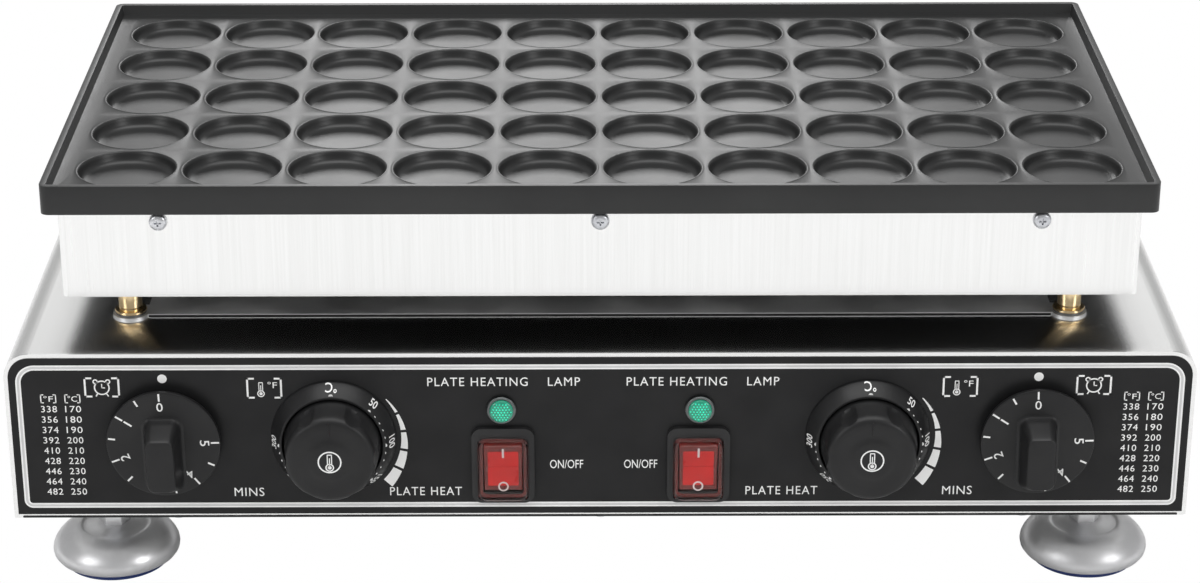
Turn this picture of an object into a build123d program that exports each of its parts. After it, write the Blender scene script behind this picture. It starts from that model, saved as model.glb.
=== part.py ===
from build123d import *
import math
import os

os.makedirs("parts", exist_ok=True)

# Mini pancake machine. Millimetres, +Z up, the floor at Z = 0, the operator stands at -Y.

# Overall base
base_overhang_x = 17.7
base_overhang_y = 25.95
base_bottom = 42.5
base_height = 84.5
sheet = 1.0
bend_top = 12.0
bend_bottom = 2.5
flange_reach = 15.0
overlay_thickness = 0.4
overlay_inset = 2.0
overlay_bottom_radius = 3.0
plate_inset = 6.0

# Baking tray
well_diameter = 45.7
well_web = 3.8
well_columns = 10
well_rows = 5
well_depth = 5.5
well_wall_run = 3.35
well_lip = 0.6
well_lip_depth = 0.5
tray_margin = 13.2
tray_plate = 9.0
tray_rim_height = 5.0
tray_rim_width = 3.0
tray_rim_draft = 1.5
tray_corner = 4.0
tray_edge_radius = 0.8
tray_overhang = 6.7
lug_width = 16.0
lug_depth = 10.0
lug_drop = 12.0
lug_inset = 46.8
lug_clearance = 0.2

# Heater box and what holds it
heater_height = 44.0
heater_corner = 3.0
heater_gap = 15.0
insulation_height = 22.0
insulation_clearance = 1.0
insulation_hole_allowance = 3.0
pillar_inset_x = 29.4
pillar_inset_y = 14.35
pillar_radius = 5.6
pillar_flange_radius = 7.75
pillar_flange_height = 2.4
pillar_edge = 0.5
pillar_stud_radius = 3.0
pillar_stud_length = 9.0
stud_clearance = 0.2
nut_height = 5.0
nut_flats = 10.0
shield_end_gap = 7.7
shield_side_reach = 3.0
shield_corner = 2.0
shield_ear_radius = 8.5

# Heating elements, clamps and sensors
element_radius = 4.25
element_leg_outer = 90.0
element_leg_inner = 30.0
element_end_gap = 20.1
element_reach_in = 60.0
element_end = 30.0
element_bend = 24.0
element_pin_radius = 2.0
element_pin_length = 9.0
contact_gap = 0.05
clamp_width = 18.0
clamp_end_gap = 25.35
clamp_thickness = 2.5
clamp_seat_length = 10.0
clamp_corner = 3.0
screw_radius = 2.5
screw_head_radius = 4.25
screw_head_height = 2.6
screw_length = 11.0
screw_slot_width = 1.2
screw_slot_length = 4.6
screw_slot_depth = 1.3
screw_head_edge = 0.8
clamp_screw_depth = 6.0
thread_clearance = 0.05
hole_clearance = 0.3
bulb_radius = 3.0
bulb_length = 60.0
bulb_lead = 40.0
capillary_radius = 0.8
capillary_seat = 16.0
capillary_bend_share = 0.45

# Ducts between base and heater box
duct_outer = 9.0
duct_wall = 1.0
duct_drop = 7.0
duct_rise = 9.0
duct_collar_radius = 12.0
duct_collar_height = 2.0
duct_offset_inner = 30.0

# Feet
foot_inset_x = 40.5
foot_inset_y = 41.5
foot_pad_radius = 25.0
foot_pad_height = 4.5
foot_pad_show = 2.5
foot_pad_clearance = 0.1
foot_pad_groove_radius = 17.0
foot_pad_groove_width = 2.0
foot_pad_groove_depth = 1.0
foot_bell_radius = 30.7
foot_crest_radius = 22.5
foot_dish_radius = 13.0
foot_collar_radius = 10.0
foot_rim_radius = 25.5
foot_lower_radius = 29.4
foot_upper_radius = 29.6
foot_shoulder_radius = 26.6
foot_lower_height = 4.3
foot_wide_height = 7.8
foot_upper_height = 12.4
foot_shoulder_height = 16.2
foot_crest_height = 18.0
foot_dish_height = 15.0
foot_collar_height = 17.0
foot_socket_floor = 8.0
foot_socket_radius = 6.0
foot_socket_clearance = 0.08
foot_thrust_gap = 0.3
foot_hex_flats = 13.0
foot_hex_height = 8.5
foot_stud_radius = 5.0
foot_stud_top = 68.0
foot_stud_chamfer = 1.0
foot_boss_radius = 9.0
foot_boss_height = 10.0
foot_thread_clearance = 0.07

# Controls on the front panel
control_height = 84.2
bushing_radius = 5.0
bushing_clearance = 0.2
bushing_show = 1.2
shaft_radius = 3.0
shaft_flat = 2.2
shaft_clearance = 0.06
shaft_in_body = 12.0
shaft_end_gap = 0.4
timer_offset = 203.3
timer_skirt_radius = 26.55
timer_skirt_gap = 4.0
timer_skirt_thickness = 3.0
timer_skirt_edge = 0.8
timer_hub_radius = 8.0
timer_hub_gap = 0.6
timer_grip_proud = 22.0
timer_grip_base_width = 15.4
timer_grip_face_width = 12.6
timer_grip_base_up = 12.5
timer_grip_base_down = 23.0
timer_grip_face_up = 11.0
timer_grip_face_down = 17.5
timer_grip_corner = 2.0
timer_grip_edge = 0.7
timer_bore_depth = 15.0
timer_rest_angle = 5.4
timer_body_width = 42.0
timer_body_height = 42.0
timer_body_depth = 32.0
timer_body_corner = 4.0
thermostat_offset = 124.7
dial_outer_radius = 29.25
dial_inner_radius = 23.25
dial_top_radius = 24.3
dial_edge = 1.2
dial_rise = 8.6
grip_base_radius = 22.6
grip_face_radius = 20.4
grip_gap = 1.5
grip_flange = 5.0
grip_neck_radius = 21.6
grip_proud = 25.2
grip_edge = 1.2
grip_scallop_radius = 11.0
grip_scallop_reach = 30.4
grip_scallops = 6
grip_cap_radius = 10.5
grip_cap_rise = 0.8
grip_pointer_width = 1.2
grip_pointer_length = 7.0
grip_pointer_depth = 0.5
grip_bore_depth = 18.0
thermostat_body_width = 40.0
thermostat_body_height = 32.0
thermostat_body_depth = 30.0
thermostat_body_corner = 3.0

# Lamps
lamp_offset = 46.2
lamp_gap = 2.2
lamp_bezel_radius = 6.9
lamp_bezel_height = 2.2
lamp_bezel_edge = 0.4
lens_radius = 5.5
lens_clearance = 0.05
lens_seat = 0.6
lens_side = 1.9
lens_dome = 1.6
lamp_body_radius = 5.0
lamp_body_depth = 24.0
lamp_pin_width = 2.8
lamp_pin_thickness = 0.8
lamp_pin_length = 7.0
lamp_pin_spacing = 4.6

# Rocker switches
switch_offset = 45.7
switch_height = 69.7
frame_width = 29.3
frame_height = 40.0
frame_proud = 2.6
frame_corner = 1.5
frame_edge = 0.6
web_thickness = 1.0
window_width = 23.6
window_height = 31.8
window_corner = 3.0
switch_body_width = 21.6
switch_body_height = 29.6
switch_body_depth = 26.0
switch_cut_clearance = 0.3
switch_floor = 12.0
rocker_width = 18.2
rocker_radius = 13.2
rocker_gap = 0.3
rocker_pivot_depth = 2.5
rocker_pivot_radius = 1.5
rocker_pivot_length = 1.2
rocker_pivot_clearance = 0.06
rocker_face = 3.2
rocker_sag = 2.3
rocker_back = 3.5
rocker_throw = 8.0
cover_clearance = 0.1
cover_rim = 1.2
cover_wall = 0.6
cover_proud = 5.9
cover_edge = 1.6
blade_width = 6.3
blade_thickness = 0.8
blade_length = 8.0
blade_spacing = 10.0

# Rear panel, gland, terminals and underside
gland_inset = 106.5
gland_z = 78.0
gland_thread_radius = 10.0
gland_thread_length = 9.0
gland_hex_flats = 24.0
gland_hex_height = 6.0
gland_cap_radius = 11.4
gland_cap_height = 12.0
gland_cap_tip = 8.0
gland_tip_radius = 8.2
gland_bore_radius = 4.6
gland_nut_flats = 24.0
gland_nut_height = 5.0
vent_count = 12
vent_width = 3.0
vent_length = 30.0
vent_pitch = 9.0
vent_x = -120.0
vent_z = 84.0
plate_vent_y = 60.0
terminal_x = 150.0
terminal_y = 95.0
terminal_length = 66.0
terminal_depth = 22.0
terminal_height = 17.0
terminal_step = 7.0
terminal_poles = 5
terminal_pitch = 12.0
terminal_wire_radius = 2.4
terminal_screw_radius = 2.6
terminal_screw_depth = 6.0
small_screw_radius = 2.0
small_head_radius = 3.6
small_head_height = 2.2
small_screw_length = 6.0
small_slot_width = 1.0
small_slot_length = 3.8
small_slot_depth = 1.0
small_head_edge = 0.6
small_screw_inset_x = 76.5
small_screw_inset_y = 91.0
overrun = 2.0

# Derived places
well_pitch = well_diameter + well_web
well_floor_radius = well_diameter / 2 - well_wall_run
tray_width = (well_columns - 1) * well_pitch + well_diameter + 2 * tray_margin
tray_depth = (well_rows - 1) * well_pitch + well_diameter + 2 * tray_margin
base_width = tray_width + 2 * base_overhang_x
base_depth = tray_depth + 2 * base_overhang_y
base_top = base_bottom + base_height
panel_front = -base_depth / 2
steel_front = panel_front + overlay_thickness
shell_front = steel_front + sheet
rear_face = base_depth / 2
shell_rear = rear_face - sheet
heater_bottom = base_top + heater_gap
tray_bottom = heater_bottom + heater_height
tray_top = tray_bottom + tray_plate
rim_top = tray_top + tray_rim_height
heater_width = tray_width - 2 * tray_overhang
heater_depth = tray_depth - 2 * tray_overhang
heater_inner_y = heater_depth / 2 - sheet
shield_top = base_top + sheet
screw_height = tray_bottom - lug_drop / 2
element_height = tray_bottom - element_radius - contact_gap
clamp_top = element_height - element_radius - contact_gap
bulb_height = tray_bottom - bulb_radius - contact_gap
flange_inner_x = base_width / 2 - flange_reach
lug_offset = heater_width / 2 - lug_inset
pillar_offset_x = heater_width / 2 - pillar_inset_x
pillar_offset_y = heater_depth / 2 - pillar_inset_y
shield_width = 2 * (pillar_offset_x - shield_end_gap)
shield_depth = 2 * (pillar_offset_y + shield_side_reach)
element_reach_out = heater_width / 2 - element_end_gap
clamp_length = heater_depth - 2 * clamp_end_gap
foot_offset_x = base_width / 2 - foot_inset_x
foot_offset_y = base_depth / 2 - foot_inset_y
lamp_height = switch_height + frame_height / 2 + lamp_gap + lamp_bezel_radius
small_screw_x = base_width / 2 - small_screw_inset_x
small_screw_y = base_depth / 2 - small_screw_inset_y
gland_x = base_width / 2 - gland_inset
sides = {"left": -1, "right": 1}
corners = {
    "front_left": (-foot_offset_x, -foot_offset_y),
    "front_right": (foot_offset_x, -foot_offset_y),
    "rear_left": (-foot_offset_x, foot_offset_y),
    "rear_right": (foot_offset_x, foot_offset_y),
}
lug_xs = (-lug_offset, 0, lug_offset)
clamp_xs = (2 * well_pitch, 4 * well_pitch)
clamp_screw_y = 1.5 * well_pitch
duct_xs = (-thermostat_offset, -duct_offset_inner, duct_offset_inner, thermostat_offset)
pillar_spots = [(x, y) for x in (-pillar_offset_x, pillar_offset_x) for y in (-pillar_offset_y, pillar_offset_y)]
duct_spots = [(x, 0) for x in duct_xs]


def facing_front(x, y, z):
    """Plane on the panel side, seen upright by the operator; it grows towards -Y."""
    return Plane(origin=(x, y, z), x_dir=(1, 0, 0), z_dir=(0, -1, 0))


def facing_rear(x, y, z):
    """Plane on the rear side, upright; it grows towards +Y."""
    return Plane(origin=(x, y, z), x_dir=(-1, 0, 0), z_dir=(0, 1, 0))


def keep(builder, label):
    """Label one finished piece and write it out."""
    builder.part.label = label
    export_step(builder.part, f"parts/{label}.step")


def base_outline(inset):
    """Upright outline of the base, rounded at the top as the bent sheet is, shrunk by an inset."""
    bottom = base_bottom + inset
    top = base_top - inset
    with BuildSketch(Plane.XZ) as outline:
        with Locations((0, (bottom + top) / 2)):
            Rectangle(base_width - 2 * inset, top - bottom)
        upper = outline.vertices().group_by(Axis.Y)[-1]
        lower = outline.vertices().group_by(Axis.Y)[0]
        fillet(upper, bend_top - inset)
        fillet(lower, bend_bottom - inset)
    return outline.sketch


def pan_screw(plane, length, shank, head, height, slot_length, slot_width, slot_depth, edge):
    """A pan-head screw with a cross recess; the plane lies under the head and faces outwards."""
    with BuildPart() as screw:
        with BuildSketch(plane):
            Circle(head)
        extrude(amount=height)
        fillet(screw.edges().sort_by(Axis(plane.origin, plane.z_dir))[-1], edge)
        with BuildSketch(plane.offset(height)):
            Rectangle(slot_length, slot_width)
            Rectangle(slot_width, slot_length)
        extrude(amount=-slot_depth, mode=Mode.SUBTRACT)
        with BuildSketch(plane):
            Circle(shank)
        extrude(amount=-length)
    return screw.part


# Baking tray: cast plate with a raised rim, fifty shallow wells and six screw lugs below
with BuildPart() as well_cutter:
    with BuildSketch(Plane.XZ):
        with BuildLine():
            Polyline(
                (0, overrun),
                (well_diameter / 2 + well_lip, overrun),
                (well_diameter / 2 + well_lip, 0),
                (well_diameter / 2, -well_lip_depth),
                (well_floor_radius, -well_depth),
                (0, -well_depth),
                close=True,
            )
        make_face()
    revolve(axis=Axis.Z)

with BuildPart() as baking_tray:
    with BuildSketch(Plane.XY.offset(tray_bottom)):
        RectangleRounded(tray_width, tray_depth, tray_corner)
    extrude(amount=rim_top - tray_bottom)
    with BuildSketch(Plane.XY.offset(rim_top)):
        RectangleRounded(tray_width - 2 * tray_rim_width, tray_depth - 2 * tray_rim_width, tray_corner / 2)
    with BuildSketch(Plane.XY.offset(tray_top)):
        RectangleRounded(
            tray_width - 2 * tray_rim_width - 2 * tray_rim_draft,
            tray_depth - 2 * tray_rim_width - 2 * tray_rim_draft,
            tray_corner / 2,
        )
    loft(mode=Mode.SUBTRACT)
    with Locations((0, 0, tray_top)):
        with GridLocations(well_pitch, well_pitch, well_columns, well_rows):
            add(well_cutter.part, mode=Mode.SUBTRACT)
    top_edges = baking_tray.faces().group_by(Axis.Z)[-1].edges()
    fillet(top_edges, tray_edge_radius)
    with BuildSketch(Plane.XY.offset(tray_bottom)):
        for lug_x in lug_xs:
            for toward in (-1, 1):
                with Locations((lug_x, toward * (heater_inner_y - lug_clearance - lug_depth / 2))):
                    Rectangle(lug_width, lug_depth)
    extrude(amount=-lug_drop)
    for lug_x in lug_xs:
        with BuildSketch(facing_front(lug_x, -heater_inner_y, screw_height)):
            Circle(screw_radius + thread_clearance)
        extrude(amount=-(screw_length + overrun), mode=Mode.SUBTRACT)
        with BuildSketch(facing_rear(lug_x, heater_inner_y, screw_height)):
            Circle(screw_radius + thread_clearance)
        extrude(amount=-(screw_length + overrun), mode=Mode.SUBTRACT)
    with BuildSketch(Plane.XY.offset(tray_bottom)):
        for clamp_x in clamp_xs:
            with Locations((-clamp_x, 0), (clamp_x, 0)):
                with GridLocations(0, 2 * clamp_screw_y, 1, 2):
                    Circle(screw_radius + thread_clearance)
    extrude(amount=clamp_screw_depth, mode=Mode.SUBTRACT)
keep(baking_tray, "baking_tray")

# Heater box: folded steel box, open above, closed by the tray
with BuildPart() as heater_box:
    with BuildSketch(Plane.XY.offset(heater_bottom)):
        RectangleRounded(heater_width, heater_depth, heater_corner)
    extrude(amount=heater_height)
    with BuildSketch(Plane.XY.offset(heater_bottom + sheet)):
        RectangleRounded(heater_width - 2 * sheet, heater_depth - 2 * sheet, heater_corner - sheet)
    extrude(amount=heater_height, mode=Mode.SUBTRACT)
    with BuildSketch(Plane.XY.offset(heater_bottom)):
        with Locations(*pillar_spots):
            Circle(pillar_stud_radius + stud_clearance)
        with Locations(*duct_spots):
            Circle(duct_outer + stud_clearance)
    extrude(amount=sheet, mode=Mode.SUBTRACT)
    for lug_x in lug_xs:
        with BuildSketch(facing_front(lug_x, 0, screw_height)):
            Circle(screw_radius + hole_clearance)
        extrude(amount=heater_depth, both=True, mode=Mode.SUBTRACT)
keep(heater_box, "heater_box")

# Insulation blanket on the floor of the heater box
with BuildPart() as insulation_blanket:
    with BuildSketch(Plane.XY.offset(heater_bottom + sheet)):
        RectangleRounded(
            heater_width - 2 * sheet - 2 * insulation_clearance,
            heater_depth - 2 * sheet - 2 * insulation_clearance,
            heater_corner - sheet,
        )
        with Locations(*pillar_spots):
            Circle(nut_flats / 2 + insulation_hole_allowance, mode=Mode.SUBTRACT)
        with Locations(*duct_spots):
            Circle(duct_outer + stud_clearance, mode=Mode.SUBTRACT)
    extrude(amount=insulation_height)
keep(insulation_blanket, "insulation_blanket")

# Tubular heating elements, one per half, with connection pins at both ends
for side, sign in sides.items():
    with BuildPart() as heating_element:
        with BuildLine() as route:
            FilletPolyline(
                (sign * element_end, -element_leg_outer, element_height),
                (sign * element_reach_out, -element_leg_outer, element_height),
                (sign * element_reach_out, -element_leg_inner, element_height),
                (sign * element_reach_in, -element_leg_inner, element_height),
                (sign * element_reach_in, element_leg_inner, element_height),
                (sign * element_reach_out, element_leg_inner, element_height),
                (sign * element_reach_out, element_leg_outer, element_height),
                (sign * element_end, element_leg_outer, element_height),
                radius=element_bend,
            )
        with BuildSketch(Plane(route.line @ 0, z_dir=route.line % 0)):
            Circle(element_radius)
        sweep()
        for leg in (-element_leg_outer, element_leg_outer):
            with BuildSketch(Plane(origin=(sign * element_end, leg, element_height), z_dir=(-sign, 0, 0))):
                Circle(element_pin_radius)
            extrude(amount=element_pin_length)
    keep(heating_element, "heating_element_" + side)

# Clamp bars that press the elements against the tray, with a seat for the sensor bulb
with BuildPart() as element_clamps:
    for clamp_x in clamp_xs:
        for sign in sides.values():
            with BuildSketch(Plane.XY.offset(clamp_top - clamp_thickness)):
                with Locations((sign * clamp_x, 0)):
                    RectangleRounded(clamp_width, clamp_length, clamp_corner)
                with Locations((sign * clamp_x, -clamp_screw_y), (sign * clamp_x, clamp_screw_y)):
                    Circle(screw_radius + hole_clearance, mode=Mode.SUBTRACT)
            extrude(amount=clamp_thickness)
    for sign in sides.values():
        with BuildSketch(Plane.XY.offset(clamp_top)):
            with Locations((sign * clamp_xs[-1], 0)):
                Rectangle(clamp_width, clamp_seat_length)
        extrude(amount=bulb_height - bulb_radius - contact_gap - clamp_top)
keep(element_clamps, "element_clamps")

# Screws of the clamp bars, driven from below into the tray
with BuildPart() as clamp_screws:
    for clamp_x in clamp_xs:
        for sign in sides.values():
            for toward in (-1, 1):
                seat = Plane(
                    origin=(sign * clamp_x, toward * clamp_screw_y, clamp_top - clamp_thickness),
                    x_dir=(1, 0, 0),
                    z_dir=(0, 0, -1),
                )
                reach = tray_bottom + clamp_screw_depth - thread_clearance - (clamp_top - clamp_thickness)
                add(
                    pan_screw(
                        seat, reach, screw_radius, screw_head_radius, screw_head_height,
                        screw_slot_length, screw_slot_width, screw_slot_depth, screw_head_edge,
                    )
                )
keep(clamp_screws, "clamp_screws")

# Screws that hold the heater box to the tray lugs, three in front and three behind
with BuildPart() as tray_screws:
    for lug_x in lug_xs:
        for seat in (
            facing_front(lug_x, -heater_depth / 2, screw_height),
            facing_rear(lug_x, heater_depth / 2, screw_height),
        ):
            add(
                pan_screw(
                    seat, screw_length, screw_radius, screw_head_radius, screw_head_height,
                    screw_slot_length, screw_slot_width, screw_slot_depth, screw_head_edge,
                )
            )
keep(tray_screws, "tray_screws")

# Heat shield on the base, with a round ear under each pillar
with BuildPart() as heat_shield:
    with BuildSketch(Plane.XY.offset(base_top)):
        RectangleRounded(shield_width, shield_depth, shield_corner)
        for spot_x, spot_y in pillar_spots:
            inner_x = math.copysign(shield_width / 2 - shield_ear_radius, spot_x)
            with Locations(((spot_x + inner_x) / 2, spot_y - math.copysign(shield_ear_radius / 2, spot_y))):
                Rectangle(abs(spot_x - inner_x), shield_ear_radius)
            with Locations((spot_x, spot_y)):
                Circle(shield_ear_radius)
        with Locations(*pillar_spots):
            Circle(pillar_stud_radius + stud_clearance, mode=Mode.SUBTRACT)
        with Locations(*duct_spots):
            Circle(duct_outer + stud_clearance, mode=Mode.SUBTRACT)
    extrude(amount=sheet)
keep(heat_shield, "heat_shield")

# Brass pillars: turned posts with a flange below and a stud at each end
with BuildPart() as brass_pillars:
    for spot in pillar_spots:
        with BuildSketch(Plane.XY.offset(shield_top)):
            with Locations(spot):
                Circle(pillar_flange_radius)
        extrude(amount=pillar_flange_height)
        with BuildSketch(Plane.XY.offset(shield_top)):
            with Locations(spot):
                Circle(pillar_radius)
        extrude(amount=heater_bottom - shield_top)
        with BuildSketch(Plane.XY.offset(heater_bottom)):
            with Locations(spot):
                Circle(pillar_stud_radius)
        extrude(amount=pillar_stud_length)
        with BuildSketch(Plane.XY.offset(shield_top)):
            with Locations(spot):
                Circle(pillar_stud_radius)
        extrude(amount=-pillar_stud_length)
    rims = brass_pillars.edges().filter_by(GeomType.CIRCLE)
    rims = rims.filter_by(lambda rim: abs(rim.radius - pillar_flange_radius) < pillar_edge)
    chamfer(rims.filter_by(lambda rim: rim.center().Z > shield_top + pillar_flange_height / 2), pillar_edge)
keep(brass_pillars, "brass_pillars")

# Nuts on the pillar studs, in the heater box and under the base top
with BuildPart() as pillar_nuts:
    for nut_plane in (
        Plane.XY.offset(heater_bottom + sheet),
        Plane.XY.offset(base_top - sheet - nut_height),
    ):
        with BuildSketch(nut_plane):
            with Locations(*pillar_spots):
                RegularPolygon(nut_flats / 2, 6, major_radius=False)
            with Locations(*pillar_spots):
                Circle(pillar_stud_radius + thread_clearance, mode=Mode.SUBTRACT)
        extrude(amount=nut_height)
keep(pillar_nuts, "pillar_nuts")

# Wire ducts between the base and the heater box
with BuildPart() as wire_ducts:
    with BuildSketch(Plane.XY.offset(base_top - duct_drop)):
        with Locations(*duct_spots):
            Circle(duct_outer)
            Circle(duct_outer - duct_wall, mode=Mode.SUBTRACT)
    extrude(amount=duct_drop + heater_gap + duct_rise)
    with BuildSketch(Plane.XY.offset(shield_top)):
        with Locations(*duct_spots):
            Circle(duct_collar_radius)
            Circle(duct_outer - duct_wall / 2, mode=Mode.SUBTRACT)
    extrude(amount=duct_collar_height)
keep(wire_ducts, "wire_ducts")

# Base shell: top and sides from one bent sheet, flanged inwards below
with BuildPart() as base_shell:
    with BuildSketch(Plane.XZ.offset(-shell_front)):
        add(base_outline(0))
        add(base_outline(sheet), mode=Mode.SUBTRACT)
        with Locations((0, base_bottom)):
            Rectangle(2 * flange_inner_x, 2 * (sheet + overrun), mode=Mode.SUBTRACT)
    extrude(amount=-(shell_rear - shell_front))
    with BuildSketch(Plane.XY.offset(base_top)):
        with Locations(*pillar_spots):
            Circle(pillar_stud_radius + stud_clearance)
        with Locations(*duct_spots):
            Circle(duct_outer + stud_clearance)
    extrude(amount=-sheet, mode=Mode.SUBTRACT)
    with BuildSketch(Plane.XY.offset(base_bottom)):
        with GridLocations(2 * (base_width / 2 - flange_reach / 2), 2 * small_screw_y, 2, 2):
            Circle(small_screw_radius + thread_clearance)
    extrude(amount=sheet, mode=Mode.SUBTRACT)
keep(base_shell, "base_shell")

# Front panel: upright plate with the openings of the controls and two return flanges
with BuildPart() as front_panel:
    with BuildSketch(Plane.XZ.offset(-shell_front)):
        add(base_outline(0))
        with Locations((-timer_offset, control_height), (timer_offset, control_height)):
            Circle(bushing_radius + bushing_clearance, mode=Mode.SUBTRACT)
        with Locations((-thermostat_offset, control_height), (thermostat_offset, control_height)):
            Circle(bushing_radius + bushing_clearance, mode=Mode.SUBTRACT)
        with Locations((-lamp_offset, lamp_height), (lamp_offset, lamp_height)):
            Circle(lamp_body_radius + bushing_clearance, mode=Mode.SUBTRACT)
        with Locations((-switch_offset, switch_height), (switch_offset, switch_height)):
            Rectangle(
                switch_body_width + 2 * switch_cut_clearance,
                switch_body_height + 2 * switch_cut_clearance,
                mode=Mode.SUBTRACT,
            )
    extrude(amount=sheet)
    with BuildSketch(Plane.XY.offset(base_bottom)):
        with Locations((0, shell_front + flange_reach / 2)):
            Rectangle(2 * flange_inner_x - 2 * overrun, flange_reach)
        with Locations((-small_screw_x, shell_front + flange_reach / 2), (0, shell_front + flange_reach / 2),
                       (small_screw_x, shell_front + flange_reach / 2)):
            Circle(small_screw_radius + thread_clearance, mode=Mode.SUBTRACT)
    extrude(amount=sheet)
    with BuildSketch(Plane.XY.offset(base_top - sheet)):
        with Locations((0, shell_front + flange_reach / 2)):
            Rectangle(base_width - 2 * (bend_top + flange_reach), flange_reach)
    extrude(amount=-sheet)
keep(front_panel, "front_panel")

# Overlay: thin printed sheet on the front panel, set in from the steel edge
with BuildPart() as panel_overlay:
    with BuildSketch(Plane.XZ.offset(-steel_front)) as overlay_face:
        with Locations((0, base_bottom + base_height / 2)):
            Rectangle(base_width - 2 * overlay_inset, base_height - 2 * overlay_inset)
        overlay_corners = overlay_face.vertices().group_by(Axis.Y)
        fillet(overlay_corners[-1], bend_top - overlay_inset)
        fillet(overlay_corners[0], overlay_bottom_radius)
        with Locations((-timer_offset, control_height), (timer_offset, control_height)):
            Circle(bushing_radius + bushing_clearance, mode=Mode.SUBTRACT)
        with Locations((-thermostat_offset, control_height), (thermostat_offset, control_height)):
            Circle(bushing_radius + bushing_clearance, mode=Mode.SUBTRACT)
        with Locations((-lamp_offset, lamp_height), (lamp_offset, lamp_height)):
            Circle(lamp_body_radius + bushing_clearance, mode=Mode.SUBTRACT)
        with Locations((-switch_offset, switch_height), (switch_offset, switch_height)):
            Rectangle(
                switch_body_width + 2 * switch_cut_clearance,
                switch_body_height + 2 * switch_cut_clearance,
                mode=Mode.SUBTRACT,
            )
    extrude(amount=overlay_thickness)
keep(panel_overlay, "panel_overlay")

# Rear panel: upright plate with vents, the gland hole and two return flanges
with BuildPart() as rear_panel:
    with BuildSketch(Plane.XZ.offset(-shell_rear)):
        add(base_outline(0))
        with Locations((gland_x, gland_z)):
            Circle(gland_thread_radius + bushing_clearance, mode=Mode.SUBTRACT)
        with Locations((vent_x, vent_z)):
            with GridLocations(vent_pitch, 0, vent_count, 1):
                SlotOverall(vent_length, vent_width, rotation=90, mode=Mode.SUBTRACT)
    extrude(amount=-sheet)
    with BuildSketch(Plane.XY.offset(base_bottom)):
        with Locations((0, shell_rear - flange_reach / 2)):
            Rectangle(2 * flange_inner_x - 2 * overrun, flange_reach)
        with Locations((-small_screw_x, shell_rear - flange_reach / 2), (0, shell_rear - flange_reach / 2),
                       (small_screw_x, shell_rear - flange_reach / 2)):
            Circle(small_screw_radius + thread_clearance, mode=Mode.SUBTRACT)
    extrude(amount=sheet)
    with BuildSketch(Plane.XY.offset(base_top - sheet)):
        with Locations((0, shell_rear - flange_reach / 2)):
            Rectangle(base_width - 2 * (bend_top + flange_reach), flange_reach)
    extrude(amount=-sheet)
keep(rear_panel, "rear_panel")

# Bottom plate with vents and four threaded bosses for the feet
small_screw_spots = [
    (x, y)
    for x in (-small_screw_x, 0, small_screw_x)
    for y in (shell_front + flange_reach / 2, shell_rear - flange_reach / 2)
] + [
    (x, y)
    for x in (-(base_width - flange_reach) / 2, (base_width - flange_reach) / 2)
    for y in (-small_screw_y, small_screw_y)
]
with BuildPart() as bottom_plate:
    with BuildSketch(Plane.XY.offset(base_bottom - sheet)):
        with Locations((0, (shell_front + shell_rear) / 2)):
            Rectangle(base_width - 2 * plate_inset, base_depth - 2 * plate_inset)
        with Locations(*small_screw_spots):
            Circle(small_screw_radius + hole_clearance, mode=Mode.SUBTRACT)
        with Locations((0, plate_vent_y), (0, -plate_vent_y)):
            with GridLocations(vent_pitch, 0, vent_count, 1):
                SlotOverall(vent_length, vent_width, rotation=90, mode=Mode.SUBTRACT)
    extrude(amount=sheet)
    with BuildSketch(Plane.XY.offset(base_bottom)):
        with Locations(*corners.values()):
            Circle(foot_boss_radius)
    extrude(amount=foot_boss_height)
    with BuildSketch(Plane.XY.offset(base_bottom - sheet)):
        with Locations(*corners.values()):
            Circle(foot_stud_radius + foot_thread_clearance)
    extrude(amount=sheet + foot_boss_height, mode=Mode.SUBTRACT)
keep(bottom_plate, "bottom_plate")

# Small screws that close the bottom plate against the flanges
with BuildPart() as panel_screws:
    for spot_x, spot_y in small_screw_spots:
        seat = Plane(origin=(spot_x, spot_y, base_bottom - sheet), x_dir=(1, 0, 0), z_dir=(0, 0, -1))
        add(
            pan_screw(
                seat, small_screw_length, small_screw_radius, small_head_radius, small_head_height,
                small_slot_length, small_slot_width, small_slot_depth, small_head_edge,
            )
        )
keep(panel_screws, "panel_screws")

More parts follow.
